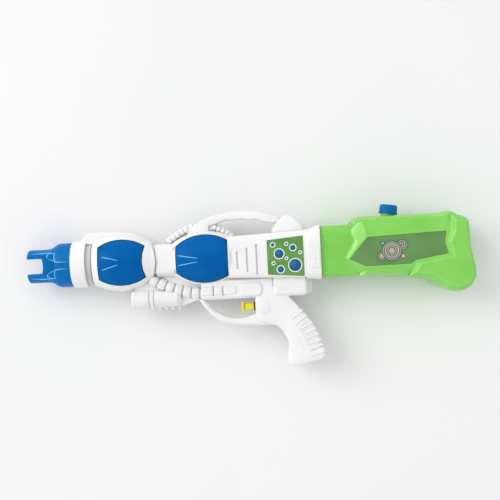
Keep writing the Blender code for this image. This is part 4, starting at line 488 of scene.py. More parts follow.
def lathe(profile, steps, radiusAt=None):  # (along, radius) points turned about x; closed profile
    shape = bmesh.new()
    rows = []
    for i in range(steps):
        angle = 2 * math.pi * i / steps
        row = []
        for along, radius in profile:
            reach = radiusAt(radius, angle) if radiusAt else radius
            row.append(Vector((along, reach * math.cos(angle), reach * math.sin(angle))))
        rows.append(row)
    skin(shape, rows, closedAcross=True, closedAlong=True)
    return shape


def closedTube(rows):  # rings of points joined in turn, with both ends closed
    shape = bmesh.new()
    made = skin(shape, rows, closedAcross=True)
    shape.faces.new(made[0])
    shape.faces.new(made[-1])
    return shape


def sweep(route, radius, corners, swell=None):  # a round bar along points
    rows = []
    side = Vector((0, 0, 1))
    turns = [2 * math.pi * k / corners for k in range(corners)]
    for i, here in enumerate(route):
        ahead = (route[min(i + 1, len(route) - 1)] - route[max(i - 1, 0)]).normalized()
        across = ahead.cross(side).normalized()
        side = across.cross(ahead).normalized()
        reach = radius * (swell[i] if swell else 1.0)
        rows.append([here + reach * (across * math.cos(a) + side * math.sin(a)) for a in turns])
    return closedTube(rows)


def smoothLine(points, perSpan):
    ends = [points[0], *points, points[-1]]
    line = []
    for a, b, c, d in zip(ends, ends[1:], ends[2:], ends[3:]):
        for i in range(perSpan):
            t = i / perSpan
            bend = (2 * a - 5 * b + 4 * c - d) * t**2 + (3 * b - a - 3 * c + d) * t**3
            line.append(0.5 * (2 * b + (c - a) * t + bend))
    return line + [points[-1]]


def circleThrough(a, b, c):  # the middle and radius of the circle through three points
    (ax, ay), (bx, by), (cx, cy) = a, b, c
    spread = 2 * (ax * (by - cy) + bx * (cy - ay) + cx * (ay - by))
    a2, b2, c2 = ax**2 + ay**2, bx**2 + by**2, cx**2 + cy**2
    midX = (a2 * (by - cy) + b2 * (cy - ay) + c2 * (ay - by)) / spread
    midY = (a2 * (cx - bx) + b2 * (ax - cx) + c2 * (bx - ax)) / spread
    return midX, midY, math.hypot(ax - midX, ay - midY)


def bowThrough(*ends):  # height of the arc through three points, as a function of x
    midX, midY, radius = circleThrough(*ends)
    return lambda x: midY + math.sqrt(max(radius**2 - (x - midX) ** 2, 0.0))


def roundedBox(low, high, edge, steps=3):
    shape = bmesh.new()
    bmesh.ops.create_cube(shape, size=1.0)
    low, high = Vector(low), Vector(high)
    bmesh.ops.scale(shape, vec=high - low, verts=shape.verts)
    bmesh.ops.translate(shape, vec=(low + high) / 2, verts=shape.verts)
    bmesh.ops.bevel(
        shape, geom=shape.edges[:], offset=edge, segments=steps, profile=0.5, affect="EDGES",
        clamp_overlap=True,
    )
    return shape


def merged(shapes):
    whole = bmesh.new()
    for shape in shapes:
        part = bpy.data.meshes.new("part")
        shape.to_mesh(part)
        shape.free()
        whole.from_mesh(part)
        bpy.data.meshes.remove(part)
    return whole


def slab(name, top, below, smoothAngle):  # two grids of points, joined round their edges
    shape = bmesh.new()
    loops = []
    for grid in (skin(shape, top), skin(shape, below)):
        loop = list(grid[0]) + [row[-1] for row in grid[1:-1]] + list(reversed(grid[-1]))
        loops.append(loop + [row[0] for row in reversed(grid[1:-1])])
    bmesh.ops.bridge_loops(shape, edges=[
        shape.edges.get((a, b)) for loop in loops for a, b in zip(loop, loop[1:] + loop[:1])
    ])
    return meshFrom(name, shape, smoothAngle)


def surfaceOf(*objects):
    points, faces = [], []
    for obj in objects:
        first = len(points)
        points += [obj.matrix_world @ vertex.co for vertex in obj.data.vertices]
        faces += [[first + i for i in polygon.vertices] for polygon in obj.data.polygons]
    return BVHTree.FromPolygons(points, faces)


def landing(surface, x, y, side):  # where a line straight in from one side meets a surface
    return surface.ray_cast(spot(x, y, side * farOff), Vector((0, 0, -side)))[0]


def draped(surface, line, side, sink, step=0.0008):  # a line laid on a surface from one side
    route = []
    for (ax, ay), (bx, by) in zip(line, line[1:]):
        count = max(1, round(math.hypot(bx - ax, by - ay) / step))
        for i in range(count + 1):
            x, y = ax + (bx - ax) * i / count, ay + (by - ay) * i / count
            hit = landing(surface, x, y, side)
            if hit is not None and not (route and (route[-1] - hit).length < step / 8):
                route.append(hit - Vector((0, 0, side * sink)))
    return route


beads = {"sink": 0.35, "tip": 0.25, "taper": 4, "corners": 8}  # sink and tip are shares of the radius


def beadMesh(name, surface, lines, side, radius):  # raised lines on a moulding, thinner at their ends
    shapes = []
    for line in lines:
        route = draped(surface, line, side, radius * beads["sink"])
        fromEnd = [min(i, len(route) - 1 - i) / len(route) for i in range(len(route))]
        swell = [min(1.0, beads["tip"] + beads["taper"] * share) for share in fromEnd]
        shapes.append(sweep(route, radius, beads["corners"], swell))
    return meshFrom(name, merged(shapes), 60)


# bulbs: domes in the windows, with two creases that run back from the front edge, their beads in a pale blue
# that is a painted highlight
bulbs = {
    "front_bulb": {
        "housing": ((-0.199, 0.028), (-0.1655, 0.037), (-0.132, 0.028)),
        "window": ((-0.191, 0.0205), (-0.1615, 0.029), (-0.132, 0.0197)), "bow": 0.0035, "sink": 0.00102,
        "creases": (((-0.1865, 0.0084), (-0.1630, 0.0026)), ((-0.1865, -0.0086), (-0.1632, -0.0021))),
    },
    "rear_bulb": {
        "housing": ((-0.097, 0.0235), (-0.061, 0.0358), (-0.025, 0.029)),
        "window": ((-0.094, 0.0170), (-0.061, 0.0305), (-0.028, 0.0225)), "bow": 0.0, "sink": 0.0006,
        "creases": (((-0.0928, 0.0057), (-0.0638, 0.0005)), ((-0.0928, -0.0075), (-0.0639, -0.0032))),
    },
    "fit": 0.0004, "depth": 0.87, "skirt": 0.0036, "edge": 0.0014,
    "bead": 0.00055, "across": 54, "along": 66, "inset": 0.14, "coarse": 6,
}


def bulbMesh(name, spec, side):
    radiusAt = bowThrough(*spec["housing"])
    halfAt = bowThrough(*spec["window"])
    front, rear = spec["window"][0][0] + bulbs["fit"], spec["window"][2][0] - bulbs["fit"]
    depth, coarse = bulbs["depth"], bulbs["coarse"]

    def crown(s, t, drop):
        x = front + s * (rear - spec["bow"] * (1 - t * t) - front)
        half = halfAt(x) - bulbs["fit"]
        y = t * half
        within = min(min(s, 1 - s) * (rear - front), (1 - abs(t)) * half)
        reach = radiusAt(x) - spec["sink"] - drop
        if within < bulbs["edge"]:  # rounded edge all round
            reach -= 0.5 * bulbs["edge"] * (1 - within / bulbs["edge"]) ** 2
        return spot(x, y, side * depth * math.sqrt(max(reach**2 - y**2, 0.0)))

    def spread(count):  # finer steps near both edges
        first = bulbs["inset"]
        shares = [first + (1 - 2 * first) * i / count for i in range(count + 1)]
        return [0.5 - 0.5 * math.cos(math.pi * share) / math.cos(math.pi * first) for share in shares]

    sStops, tStops = spread(bulbs["along"]), [2 * v - 1 for v in spread(bulbs["across"])]
    top = [[crown(s, t, 0.0) for t in tStops] for s in sStops]
    below = [[crown(s, t, bulbs["skirt"]) for t in tStops[::coarse]] for s in sStops[::coarse]]
    return slab(name, top, below, 50)


for bulbName in ("front_bulb", "rear_bulb"):
    spec = bulbs[bulbName]
    for sideName, side in sides:
        nodeName = f"{bulbName}_{sideName}"
        mesh = bulbMesh(nodeName, spec, side)
        dome = addPiece(f"{nodeName}_dome", mesh, bulbBlue, "squirter", "blue", nodeName)
        creaseName = f"{nodeName}_creases"
        mesh = beadMesh(creaseName, surfaceOf(dome), spec["creases"], side, bulbs["bead"])
        addPiece(creaseName, mesh, crease, "squirter", "blue")
print("bulbs made")


# nozzle: raised ridges along the prongs and round the pocket between them, the same above and below, in a
# pale blue that is a painted highlight
nozzleLines = {
    "bead": 0.00058,
    "ridge": ((-0.2775, 0.0156), (-0.2640, 0.0162), (-0.2458, 0.0160), (-0.2462, 0.0085),
              (-0.2440, 0.0048), (-0.2380, 0.0042), (-0.2275, 0.0041)),
    "pocket": ((-0.2532, 0.0157), (-0.2576, 0.0124), (-0.2560, 0.0094), (-0.2470, 0.0052),
               (-0.2464, 0.0046)),
}
nozzleSurface = surfaceOf(nodes["nozzle"])


def ridgeMesh(name, side):
    lines = [nozzleLines["ridge"], nozzleLines["pocket"]]
    lines += [[(x, -y) for x, y in line] for line in lines]
    return beadMesh(name, nozzleSurface, lines, side, nozzleLines["bead"])


bothSides("nozzle_ridges", ridgeMesh, crease, "blue")
print("nozzle ridges made")


# hoses moulded round the rear housing, ring by ring, one half on each shell
hoses = {
    "depth": 1.65, "valley": 0.79, "seam": 0.0002, "steps": 14,
    # share of a rib's length, and how far out it stands there
    "ribShape": ((0.0, 0.0), (0.05, 0.0), (0.10, 0.82), (0.17, 1.0), (0.5, 1.04), (0.83, 1.0),
                 (0.90, 0.82), (0.95, 0.0)),
    "lower_hose": {
        "ends": ((-0.128, -0.0220), (-0.100, -0.0363), (-0.055, -0.0443)), "radius": 0.0085, "ribs": 7,
    },
    "upper_front_hose": {
        "ends": ((-0.104, 0.0220), (-0.090, 0.0323), (-0.071, 0.0403)), "radius": 0.0050, "ribs": 6,
    },
    "upper_rear_hose": {
        "ends": ((-0.047, 0.0398), (-0.035, 0.0348), (-0.022, 0.0250)), "radius": 0.0050, "ribs": 5,
    },
}


def arcPoint(ends, share):  # along the circle through three points
    midX, midY, radius = circleThrough(*ends)
    start, end = (math.atan2(y - midY, x - midX) for x, y in (ends[0], ends[2]))
    turn = math.remainder(end - start, 2 * math.pi)
    angle = start + turn * share
    out = Vector((math.cos(angle), math.sin(angle)))
    way = Vector((-out.y, out.x)) * (1 if turn > 0 else -1)
    return Vector((midX, midY)) + radius * out, way


def hoseMesh(name, spec, side):
    rows = []
    for rib in range(spec["ribs"]):
        for share, out in hoses["ribShape"]:
            here, way = arcPoint(spec["ends"], (rib + share) / spec["ribs"])
            reach = spec["radius"] * (hoses["valley"] + (1 - hoses["valley"]) * out)
            across = Vector((-way.y, way.x))
            row = []
            for i in range(hoses["steps"] + 1):
                angle = math.pi * i / hoses["steps"]
                flat = here + across * reach * math.cos(angle)
                rise = hoses["seam"] + reach * hoses["depth"] * math.sin(angle)
                row.append(spot(flat.x, flat.y, side * rise))
            rows.append(row)
    return meshFrom(name, closedTube(rows), 45)


for hoseName in ("lower_hose", "upper_front_hose", "upper_rear_hose"):
    spec = hoses[hoseName]
    bothSides(hoseName, lambda name, side: hoseMesh(name, spec, side), white, "white")
print("hoses made")


# neck between the housings: a flat-faced sleeve, half on each shell
neck = {
    "front": -0.1190, "rear": -0.0962, "edge": 0.0006, "seam": 0.0002,
    # y and z of the section, from the seam below round to the seam above
    "section": ((-0.0208, 0.0), (-0.0208, 0.0075), (-0.0200, 0.0105), (-0.0158, 0.0172),
                (-0.0148, 0.0180), (-0.0130, 0.0184), (0.0130, 0.0184), (0.0148, 0.0180),
                (0.0158, 0.0172), (0.0200, 0.0105), (0.0208, 0.0075), (0.0208, 0.0)),
}


def neckMesh(name, side):
    front, edge = neck["front"], neck["edge"]
    rows = []
    for x, shrink in ((front, edge), (front + edge, 0.0), (neck["rear"], 0.0)):
        row = []
        for y, z in neck["section"]:
            out = Vector((y, z))
            out *= 1 - shrink / out.length
            row.append(spot(x, out.x, side * (out.y + neck["seam"])))
        rows.append(row)
    return meshFrom(name, closedTube(rows), 30)


bothSides("neck_sleeve", neckMesh, white, "white")
print("neck made")


# cup that closes the rear end of the front housing, half on each shell
cup = {
    "front": -0.1285, "rear": -0.1195, "sag": 0.0050, "half": (0.0238, 0.0209),
    "radius": (0.0266, 0.0252), "depth": 0.87, "edge": 0.0010, "seam": 0.0004, "across": 40, "along": 16,
}


def cupMesh(name, side):
    shape = bmesh.new()
    rows = []
    length = cup["rear"] - cup["front"]
    for i in range(cup["along"] + 1):
        share = math.sin(math.pi / 2 * i / cup["along"])  # finer steps at the rear edge
        half = cup["half"][0] + share * (cup["half"][1] - cup["half"][0])
        reach = cup["radius"][0] + share * (cup["radius"][1] - cup["radius"][0])
        left = min((1 - share) * length, cup["edge"])
        reach -= cup["edge"] - math.sqrt(cup["edge"] ** 2 - (cup["edge"] - left) ** 2)
        top, foot = [], []
        for k in range(cup["across"] + 1):
            t = 2 * k / cup["across"] - 1
            x = cup["front"] + share * (length - cup["sag"] * t * t)
            rise = cup["depth"] * math.sqrt(max(reach**2 - (t * half) ** 2, 0.0))
            top.append(spot(x, t * half, side * max(rise, 2 * cup["seam"])))
            foot.append(spot(x, t * half, side * cup["seam"]))
        rows.append(top + foot[::-1])
    made = skin(shape, rows, closedAcross=True)
    for row in (made[0], made[-1]):
        for k in range(cup["across"]):
            shape.faces.new((row[k], row[k + 1], row[-2 - k], row[-1 - k]))
    return meshFrom(name, shape, 40)


bothSides("front_cup", cupMesh, white, "white")
print("front cup made")


# pads along the rail, in line with the lower hose
railPads = {
    "spans": ((-0.0613, -0.0493), (-0.0481, -0.0374), (-0.0362, -0.0202)),  # x of each pad
    "y": (-0.0467, -0.0362), "z": (0.0128, 0.0158), "round": 0.0011,
}
# bridge between the hump and the rear collar, over the tank's plug
bridge = {"spans": ((0.0640, 0.0722),), "y": (0.0284, 0.0305), "z": (0.00006, 0.0152), "round": 0.0006}


def padMesh(name, spec, side):
    heights = sorted(side * z for z in spec["z"])
    pads = []
    for span in spec["spans"]:
        low, high = (spot(*corner) for corner in zip(span, spec["y"], heights))
        pads.append(roundedBox(low, high, spec["round"]))
    return meshFrom(name, merged(pads), 35)


bothSides("rail_pads", lambda name, side: padMesh(name, railPads, side), white, "white")
bothSides("hump_bridge", lambda name, side: padMesh(name, bridge, side), white, "white")
print("rail pads and hump bridge made")


# a nub on the tank, below its shoulder
tankNub = {
    "place": (0.1402, -0.0282), "size": (0.0052, 0.0030, 0.0024), "turn": math.radians(24),
    "sink": 0.0005, "flat": 0.16, "flatPower": 0.35, "rounds": 28, "rings": 16,
}
tankSurface = surfaceOf(nodes["tank"])


def nubMesh(name, side):
    shape = bmesh.new()
    rounds, rings = tankNub["rounds"], tankNub["rings"]
    bmesh.ops.create_uvsphere(shape, u_segments=rounds, v_segments=rings, radius=1.0)
    for vertex in shape.verts:  # a flatter top and steeper sides than a ball's
        fullness = max(abs(part) for part in vertex.co) ** tankNub["flatPower"]
        vertex.co *= 1.0 + tankNub["flat"] * (1.0 - fullness)
    foot = landing(tankSurface, *tankNub["place"], side) - Vector((0, 0, side * tankNub["sink"]))
    turn = Matrix.Rotation(tankNub["turn"], 4, "Z")
    place = Matrix.Translation(foot) @ turn @ Matrix.Diagonal((*tankNub["size"], 1.0))
    bmesh.ops.transform(shape, verts=shape.verts, matrix=place)
    return meshFrom(name, shape, 60)


# soft facet of the tank's shoulder, from its outer edge up to the panel and the crease above it
shoulder = {
    # x, y from the barrel's axis and how far above the tank's own skin
    "outer": ((0.1180, -0.0088, -0.0002), (0.1294, 0.0108, -0.0002),
              (0.1268, 0.0254, -0.0002), (0.1374, 0.0368, -0.0002)),
    "ridge": ((0.1212, -0.0091, 0.0001), (0.1358, 0.0075, 0.0002),
              (0.1449, 0.0188, 0.0003), (0.1388, 0.0362, 0.0003)),
    "back": ((0.1215, -0.0093, -0.0002), (0.1362, 0.0074, -0.0002),
             (0.1457, 0.0192, -0.0003), (0.1420, 0.0368, -0.0002)),
    "perSpan": 12, "bulge": 0.75, "swell": 0.0008, "thick": 0.0014, "front": 12, "rear": 3,
}


def shoulderMesh(name, side):
    def skinHeight(x, y):
        return abs(landing(tankSurface, x, y, side).z - axisZ)

    lines = []
    for lineName in ("outer", "ridge", "back"):
        marked = [Vector((x, y, skinHeight(x, y) + over)) for x, y, over in shoulder[lineName]]
        lines.append(smoothLine(marked, shoulder["perSpan"]))
    top, below = [], []
    for outer, ridge, back in zip(*lines):
        row = [outer]
        for k in range(1, shoulder["front"] + 1):
            u = k / shoulder["front"]
            here = outer.lerp(ridge, u)
            here.z = outer.z + (ridge.z - outer.z) * u ** shoulder["bulge"]
            here.z += shoulder["swell"] * math.sin(math.pi * u)
            row.append(here)
        row += [row[-1].lerp(back, k / shoulder["rear"]) for k in range(1, shoulder["rear"] + 1)]
        top.append(onSide(row, side))
        feet = [min(here.z, skinHeight(here.x, here.y)) - shoulder["thick"] for here in row]
        below.append([spot(here.x, here.y, side * foot) for here, foot in zip(row, feet)])
    return slab(name, top, below, 35)


# the shoulder facets and nubs are drawn in a lighter green as painted highlight
bothSides("tank_shoulder", shoulderMesh, highlightGreen, "green")
bothSides("tank_nub", nubMesh, highlightGreen, "green")
print("tank shoulder and nubs made")


# soft rib along the tank's upper corners, beside the panel
tankEdge = {
    "span": (0.1560, 0.2300), "along": 48, "taper": 0.0050,
    "probes": (0.0175, 0.0194), "corner": 0.02134, "slope": 0.0386,  # where the two slopes are measured
    # distance from the corner, and whether it stands out there
    "across": ((-0.0034, 0), (-0.0029, 1), (-0.0014, 1), (0, 1), (0.0010, 1), (0.0018, 1), (0.0024, 0)),
    "lift": 0.00022, "sink": 0.00025, "thick": 0.0009,
}


def edgeMesh(name, side):
    top, below = [], []
    start, end = tankEdge["span"]
    lowZ, highZ = tankEdge["probes"]
    for i in range(tankEdge["along"] + 1):
        x = start + (end - start) * i / tankEdge["along"]
        lowY, highY = (
            tankSurface.ray_cast(spot(x, farOff, side * z), Vector((0, -1, 0)))[0].y - axisY
            for z in (lowZ, highZ)
        )
        lean = (highY - lowY) / (highZ - lowZ)
        corner = Vector((x, lowY + lean * (tankEdge["corner"] - lowZ), tankEdge["corner"]))
        panelZ = abs(landing(tankSurface, x, tankEdge["slope"], side).z - axisZ)
        lower = Vector((0, lean, 1)).normalized()
        upper = (Vector((x, tankEdge["slope"], panelZ)) - corner).normalized()
        share = min(1.0, (x - start) / tankEdge["taper"], (end - x) / tankEdge["taper"])
        row, feet = [], []
        for away, raised in tankEdge["across"]:
            along = lower if away <= 0 else upper
            here = corner + along * away
            if away == 0:
                along = (lower + upper).normalized()
            out = Vector((0, along.z, -along.y))
            rise = -tankEdge["sink"] + raised * share * (tankEdge["lift"] + tankEdge["sink"])
            row.append(here + out * rise)
            feet.append(here + out * (rise - tankEdge["thick"]))
        top.append(onSide(row, side))
        below.append(onSide(feet, side))
    return slab(name, top, below, 35)


bothSides("tank_edge", edgeMesh, green, "green")
print("tank edges made")


# front band between the collar and the front housing, in grey as painted shade, with a near black ring
# behind it as a painted shadow line
band = {
    "depth": 0.87, "inner": 0.0240, "steps": 96,
    "front_band": ((-0.2074, 0.0262), (-0.2006, 0.0262)),  # x and radius at the front and the rear
    "front_gap": ((-0.2006, 0.0263), (-0.1991, 0.0266)),
}
for bandName, bandFinish in (("front_band", bandShade), ("front_gap", gapShadow)):
    front, rear = band[bandName]
    ring = lathe([(front[0], band["inner"]), front, rear, (rear[0], band["inner"])], band["steps"])
    bmesh.ops.scale(ring, vec=(1, 1, band["depth"]), verts=ring.verts)
    bmesh.ops.translate(ring, vec=spot(0.0, 0.0), verts=ring.verts)
    addPiece(f"{bandName}_ring", meshFrom(bandName, ring, 40), bandFinish, "squirter", "white")
print("front band made")


# grip, pump boss and collar: raised lines and marks on both shells
marks = {
    "lines": {  # the lines of a piece, and the radius of its beads
        "grip_lines": ((
            ((0.0494, -0.0827), (0.0611, -0.1016), (0.0728, -0.1205), (0.0775, -0.1285)),
            ((0.0434, -0.0881), (0.0530, -0.1035), (0.0614, -0.1188), (0.0565, -0.1266), (0.0504, -0.1343)),
            ((0.0504, -0.1343), (0.0653, -0.1328), (0.0775, -0.1285)),
            ((0.0494, -0.0827), (0.0551, -0.0732), (0.0590, -0.0676)),
        ), 0.0005),
        "collar_lines": ((
            ((0.0858, 0.0068), (0.0750, 0.0071)), ((0.0750, 0.0071), (0.0736, -0.0178)),
            ((0.0736, -0.0178), (0.0845, -0.0182)),
        ), 0.0005),
    },
    "ribFeet": ((0.0562, -0.0853), (0.0588, -0.0908), (0.0617, -0.0962), (0.0646, -0.1015),
                (0.0675, -0.1067), (0.0704, -0.1120), (0.0731, -0.1175)),
    "ribReach": (0.0090, 0.0056), "ribBead": 0.0009,
    "buttons": {  # places, radius and height
        "pump_boss": (((0.0131, -0.0649),), 0.0094, 0.0004),
        "collar_dots": (((0.0808, 0.0006), (0.0804, -0.0059), (0.0800, -0.0121)), 0.0011, 0.0008),
    },
    # how deep a button is let in, the share of its height that is rounded, and the lathe's hole
    "root": 0.0006, "soft": 0.8, "hole": 0.00002, "steps": 40,
}
shellSurface = surfaceOf(nodes["left_shell"], nodes["right_shell"])


def buttonMesh(name, side, places, radius, height):  # low round bosses with soft edges
    edge, root, hole = height * marks["soft"], -marks["root"], marks["hole"]
    buttons = []
    for place in places:
        button = lathe([
            (root, hole), (root, radius), (height - edge, radius),
            (height - 0.3 * edge, radius - 0.3 * edge), (height, radius - edge), (height, hole),
        ], marks["steps"])
        stand = Matrix.Translation(landing(shellSurface, *place, side))
        outward = Matrix.Rotation(-side * math.pi / 2, 4, "Y")
        bmesh.ops.transform(button, verts=button.verts, matrix=stand @ outward)
        buttons.append(button)
    return meshFrom(name, merged(buttons), 35)


reachX, reachY = marks["ribReach"]
gripRibs = [((x, y), (x + reachX, y + reachY)) for x, y in marks["ribFeet"]]
lineMarks = {**marks["lines"], "grip_ribs": (gripRibs, marks["ribBead"])}
for markName, (lines, bead) in lineMarks.items():
    bothSides(markName, lambda name, side: beadMesh(name, shellSurface, lines, side, bead), white, "white")
for markName, spec in marks["buttons"].items():
    bothSides(markName, lambda name, side: buttonMesh(name, side, *spec), white, "white")
print("grip and collar marks made")


# filler cap: ribbed screw cap on the leaning neck
cap = {
    "foot": (0.1780, 0.0432), "lean": math.radians(8.4), "seat": 0.0025,
    "flange": 0.0122, "flangeHeight": 0.0016, "lip": 0.0004, "body": 0.0107, "bore": 0.0096,
    "rib": 0.00055, "ribs": 24, "roof": 0.0118, "top": 0.0138, "hole": 0.0001, "steps": 192,
    # the rounded rim and the sunk middle of the top: drops from the top, and from the body's radius
    "rim": ((0.0022, 0.0), (0.0014, 0.0), (0.0007, 0.0002), (0.0002, 0.0006), (0.0, 0.0012), (0.0, 0.0026),
            (0.0004, 0.0030)),
}
capFrame = Matrix.Translation(spot(*cap["foot"])) @ Matrix.Rotation(math.pi / 2 - cap["lean"], 4, "Z")


def capMesh():
    seat, flange, lip, bore = cap["seat"], cap["flange"], cap["lip"], cap["bore"]
    body, top, hole = cap["body"], cap["top"], cap["hole"]
    ledge, chamfer = seat + cap["flangeHeight"], 0.75 * lip
    profile = [
        (seat, bore), (seat, flange - chamfer), (seat + chamfer, flange), (ledge - lip, flange),
        (ledge, flange - lip), (ledge, body + lip / 4), (ledge + lip, body),
    ]
    profile += [(top - drop, body - inward) for drop, inward in cap["rim"]]
    profile += [(top - lip, hole), (cap["roof"], hole), (cap["roof"], bore)]

    def ribbed(radius, angle):  # only the straight side has ribs
        if radius != body:
            return radius
        return radius + cap["rib"] * max(0.0, math.cos(cap["ribs"] * angle)) ** 0.7

    return meshFrom("filler_cap", lathe(profile, cap["steps"], ribbed), 42)


capPiece = capMesh()
capPiece.transform(capFrame)
addPiece("filler_cap_ribbed", capPiece, blue, "cap", "blue", "filler_cap")
print("cap made")


# trigger: T-shaped slide with rounded edges and finger ridges
trigger = {
    "face": 0.0028, "faceHalf": (0.00675, 0.0070), "round": 0.0011, "lap": 0.0004,
    "ridges": 5, "ridgeHeight": 0.0005, "ridgeHalf": 0.0005, "ridgeInset": (0.0016, 0.0012),
    "ridgeRound": 0.0003, "ridgeRoot": 0.0006, "stem": 0.008, "stemRound": 0.0006,
    "disc": 0.0098, "discThick": 0.0025, "hole": 0.0001, "steps": 48,
}


def triggerMesh():
    low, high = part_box("trigger")
    midY, midZ = (low.y + high.y) / 2, (low.z + high.z) / 2

    def bar(front, rear, y, halfY, halfZ, *edge):
        return roundedBox((front, y - halfY, midZ - halfZ), (rear, y + halfY, midZ + halfZ), *edge)

    lap = trigger["lap"]
    halfY, halfZ = trigger["faceHalf"]
    insetY, insetZ = trigger["ridgeInset"]
    front, rear = low.x + trigger["ridgeHeight"], low.x + trigger["face"]
    shapes = [bar(front, rear, midY, halfY, halfZ, trigger["round"])]
    pitch = 2 * (halfY - insetY) / (trigger["ridges"] - 1)
    for i in range(trigger["ridges"]):  # ridges across the finger face
        y = midY - halfY + insetY + i * pitch
        root, edge = front + trigger["ridgeRoot"], trigger["ridgeRound"]
        shapes.append(bar(low.x, root, y, trigger["ridgeHalf"], halfZ - insetZ, edge, 2))
    stem, disc, hole = trigger["stem"] / 2, trigger["disc"], trigger["hole"]
    discFront = high.x - trigger["discThick"]
    shapes.append(bar(rear - lap, discFront + lap, midY, stem, stem, trigger["stemRound"], 2))
    plate = lathe([
        (discFront, hole), (discFront, disc - lap), (discFront + lap, disc), (high.x - lap, disc),
        (high.x, disc - lap), (high.x, hole),
    ], trigger["steps"])
    bmesh.ops.translate(plate, vec=(0, midY, midZ), verts=plate.verts)
    return meshFrom("trigger", merged(shapes + [plate]), 40)


addPiece("trigger_slide", triggerMesh(), yellow, "trigger", "yellow", "trigger")


# dark ring round the trigger's stem, on the wall that the stem goes through, as a painted shadow of the slot
slotShadow = {
    "wall": 0.0035, "reach": 0.0021, "root": 0.0003, "inner": 0.00435, "outer": 0.0052, "lip": 0.0003,
    "axis": -0.064,
}


def slotShadowMesh():
    shape = bmesh.new()
    front, rear = slotShadow["wall"] - slotShadow["reach"], slotShadow["wall"] + slotShadow["root"]
    inner, outer, lip = slotShadow["inner"], slotShadow["outer"], slotShadow["lip"]
    profile = ((rear, inner), (front, inner), (front, outer - lip), (front + lip, outer), (rear, outer))
    corners = ((1, 1), (-1, 1), (-1, -1), (1, -1))
    rows = [[spot(x, slotShadow["axis"] + a * half, b * half) for x, half in profile] for a, b in corners]
    skin(shape, rows, closedAcross=True, closedAlong=True)
    return meshFrom("trigger_slot_shadow", shape, 30)


addPiece("trigger_slot_shadow", slotShadowMesh(), slotShadowBrown, "squirter", "rubber")
print("trigger made")


# screws: pan heads with a cross recess, driven in from the right side
screw = {
    "count": 9, "shank": 0.00125, "root": 0.00115, "pitch": 0.0011, "thread": 0.00022,
    "threadStart": 0.0022, "threadEnd": 0.0026, "ridge": (0.3, 0.6),  # crest and foot in shares of the pitch
    "tip": 0.0024, "point": 0.3, "hole": 0.00005, "steps": 32,
    # the head's height and its share of the full radius
    "head": ((0.0, 0.45), (0.00015, 0.7), (0.0006, 0.95), (0.0010, 1.0), (0.0016, 1.0), (0.0018, 0.97)),
    "slotWidth": 0.0008, "slotReach": 0.0016, "slotDepth": 0.0009, "slotOver": 0.001, "slotRound": 0.0001,
    "spin": math.radians(37),
}


def screwMesh(low, high):
    length = high.z - low.z
    head = (high.x - low.x) / 2
    shank, root, pitch, hole = screw["shank"], screw["root"], screw["pitch"], screw["hole"]
    profile = [(0.0, hole)] + [(drop, share * head) for drop, share in screw["head"]]
    profile.append((screw["head"][-1][0], shank))
    turn = screw["threadStart"]
    crest, foot = (share * pitch for share in screw["ridge"])
    while turn < length - screw["threadEnd"]:  # thread ridges on the shank
        profile += [(turn, root), (turn + crest, root + screw["thread"]), (turn + foot, root)]
        turn += pitch
    profile += [(length - screw["tip"], shank), (length, screw["point"] * shank), (length, hole)]
    body = bpy.data.objects.new("screw_body", meshFrom("screw", lathe(profile, screw["steps"]), 40))
    stageScene.collection.objects.link(body)
    slot = (screw["slotReach"], screw["slotWidth"] / 2)
    for wide, tall in (slot, slot[::-1]):
        near, far = (-screw["slotOver"], -wide, -tall), (screw["slotDepth"], wide, tall)
        cutter = roundedBox(near, far, screw["slotRound"], 1)
        tool = bpy.data.objects.new("cross", meshFrom("cross", cutter))
        stageScene.collection.objects.link(tool)
        cut = body.modifiers.new("cross", "BOOLEAN")
        cut.object = tool
        cut.operation = "DIFFERENCE"
        cut.solver = "EXACT"
        graph = bpy.context.evaluated_depsgraph_get()
        done = bpy.data.meshes.new_from_object(body.evaluated_get(graph))
        body.modifiers.clear()
        body.data = done
        bpy.data.objects.remove(tool, do_unlink=True)
    bpy.data.objects.remove(body, do_unlink=True)
    done.set_sharp_from_angle(angle=math.radians(35))
    return done


screwShape = screwMesh(*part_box("shell_screw_1"))
for number in range(1, screw["count"] + 1):
    low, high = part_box(f"shell_screw_{number}")
    mesh = screwShape.copy()
    stand = Matrix.Translation(((low.x + high.x) / 2, (low.y + high.y) / 2, low.z))
    spin = Matrix.Rotation(number * screw["spin"], 4, "X")  # each stops at its own angle
    mesh.transform(stand @ Matrix.Rotation(-math.pi / 2, 4, "Y") @ spin)
    addPiece(f"screw_{number}_cross", mesh, steel, "squirter", "steel", f"shell_screw_{number}")
print("screws made")


# return spring and tubes inside
spring = {"wire": 0.0005, "corners": 8, "coils": 7, "perCoil": 28, "travel": 0.012}


def springPiece():
    low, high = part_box("return_spring")
    wire = spring["wire"]
    radius = (high.y - low.y) / 2 - wire
    midY, midZ = (low.y + high.y) / 2, (low.z + high.z) / 2
    count = spring["coils"] * spring["perCoil"]
    route = []
    for i in range(count + 1):
        angle = 2 * math.pi * i / spring["perCoil"]
        along = low.x + wire + (high.x - low.x - 2 * wire) * i / count
        route.append(Vector((along, midY + radius * math.cos(angle), midZ + radius * math.sin(angle))))
    mesh = meshFrom("return_spring", sweep(route, wire, spring["corners"]), 60)
    piece = addPiece("return_spring_coil", mesh, steel, "squirter", "steel", "return_spring")
    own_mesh(piece)


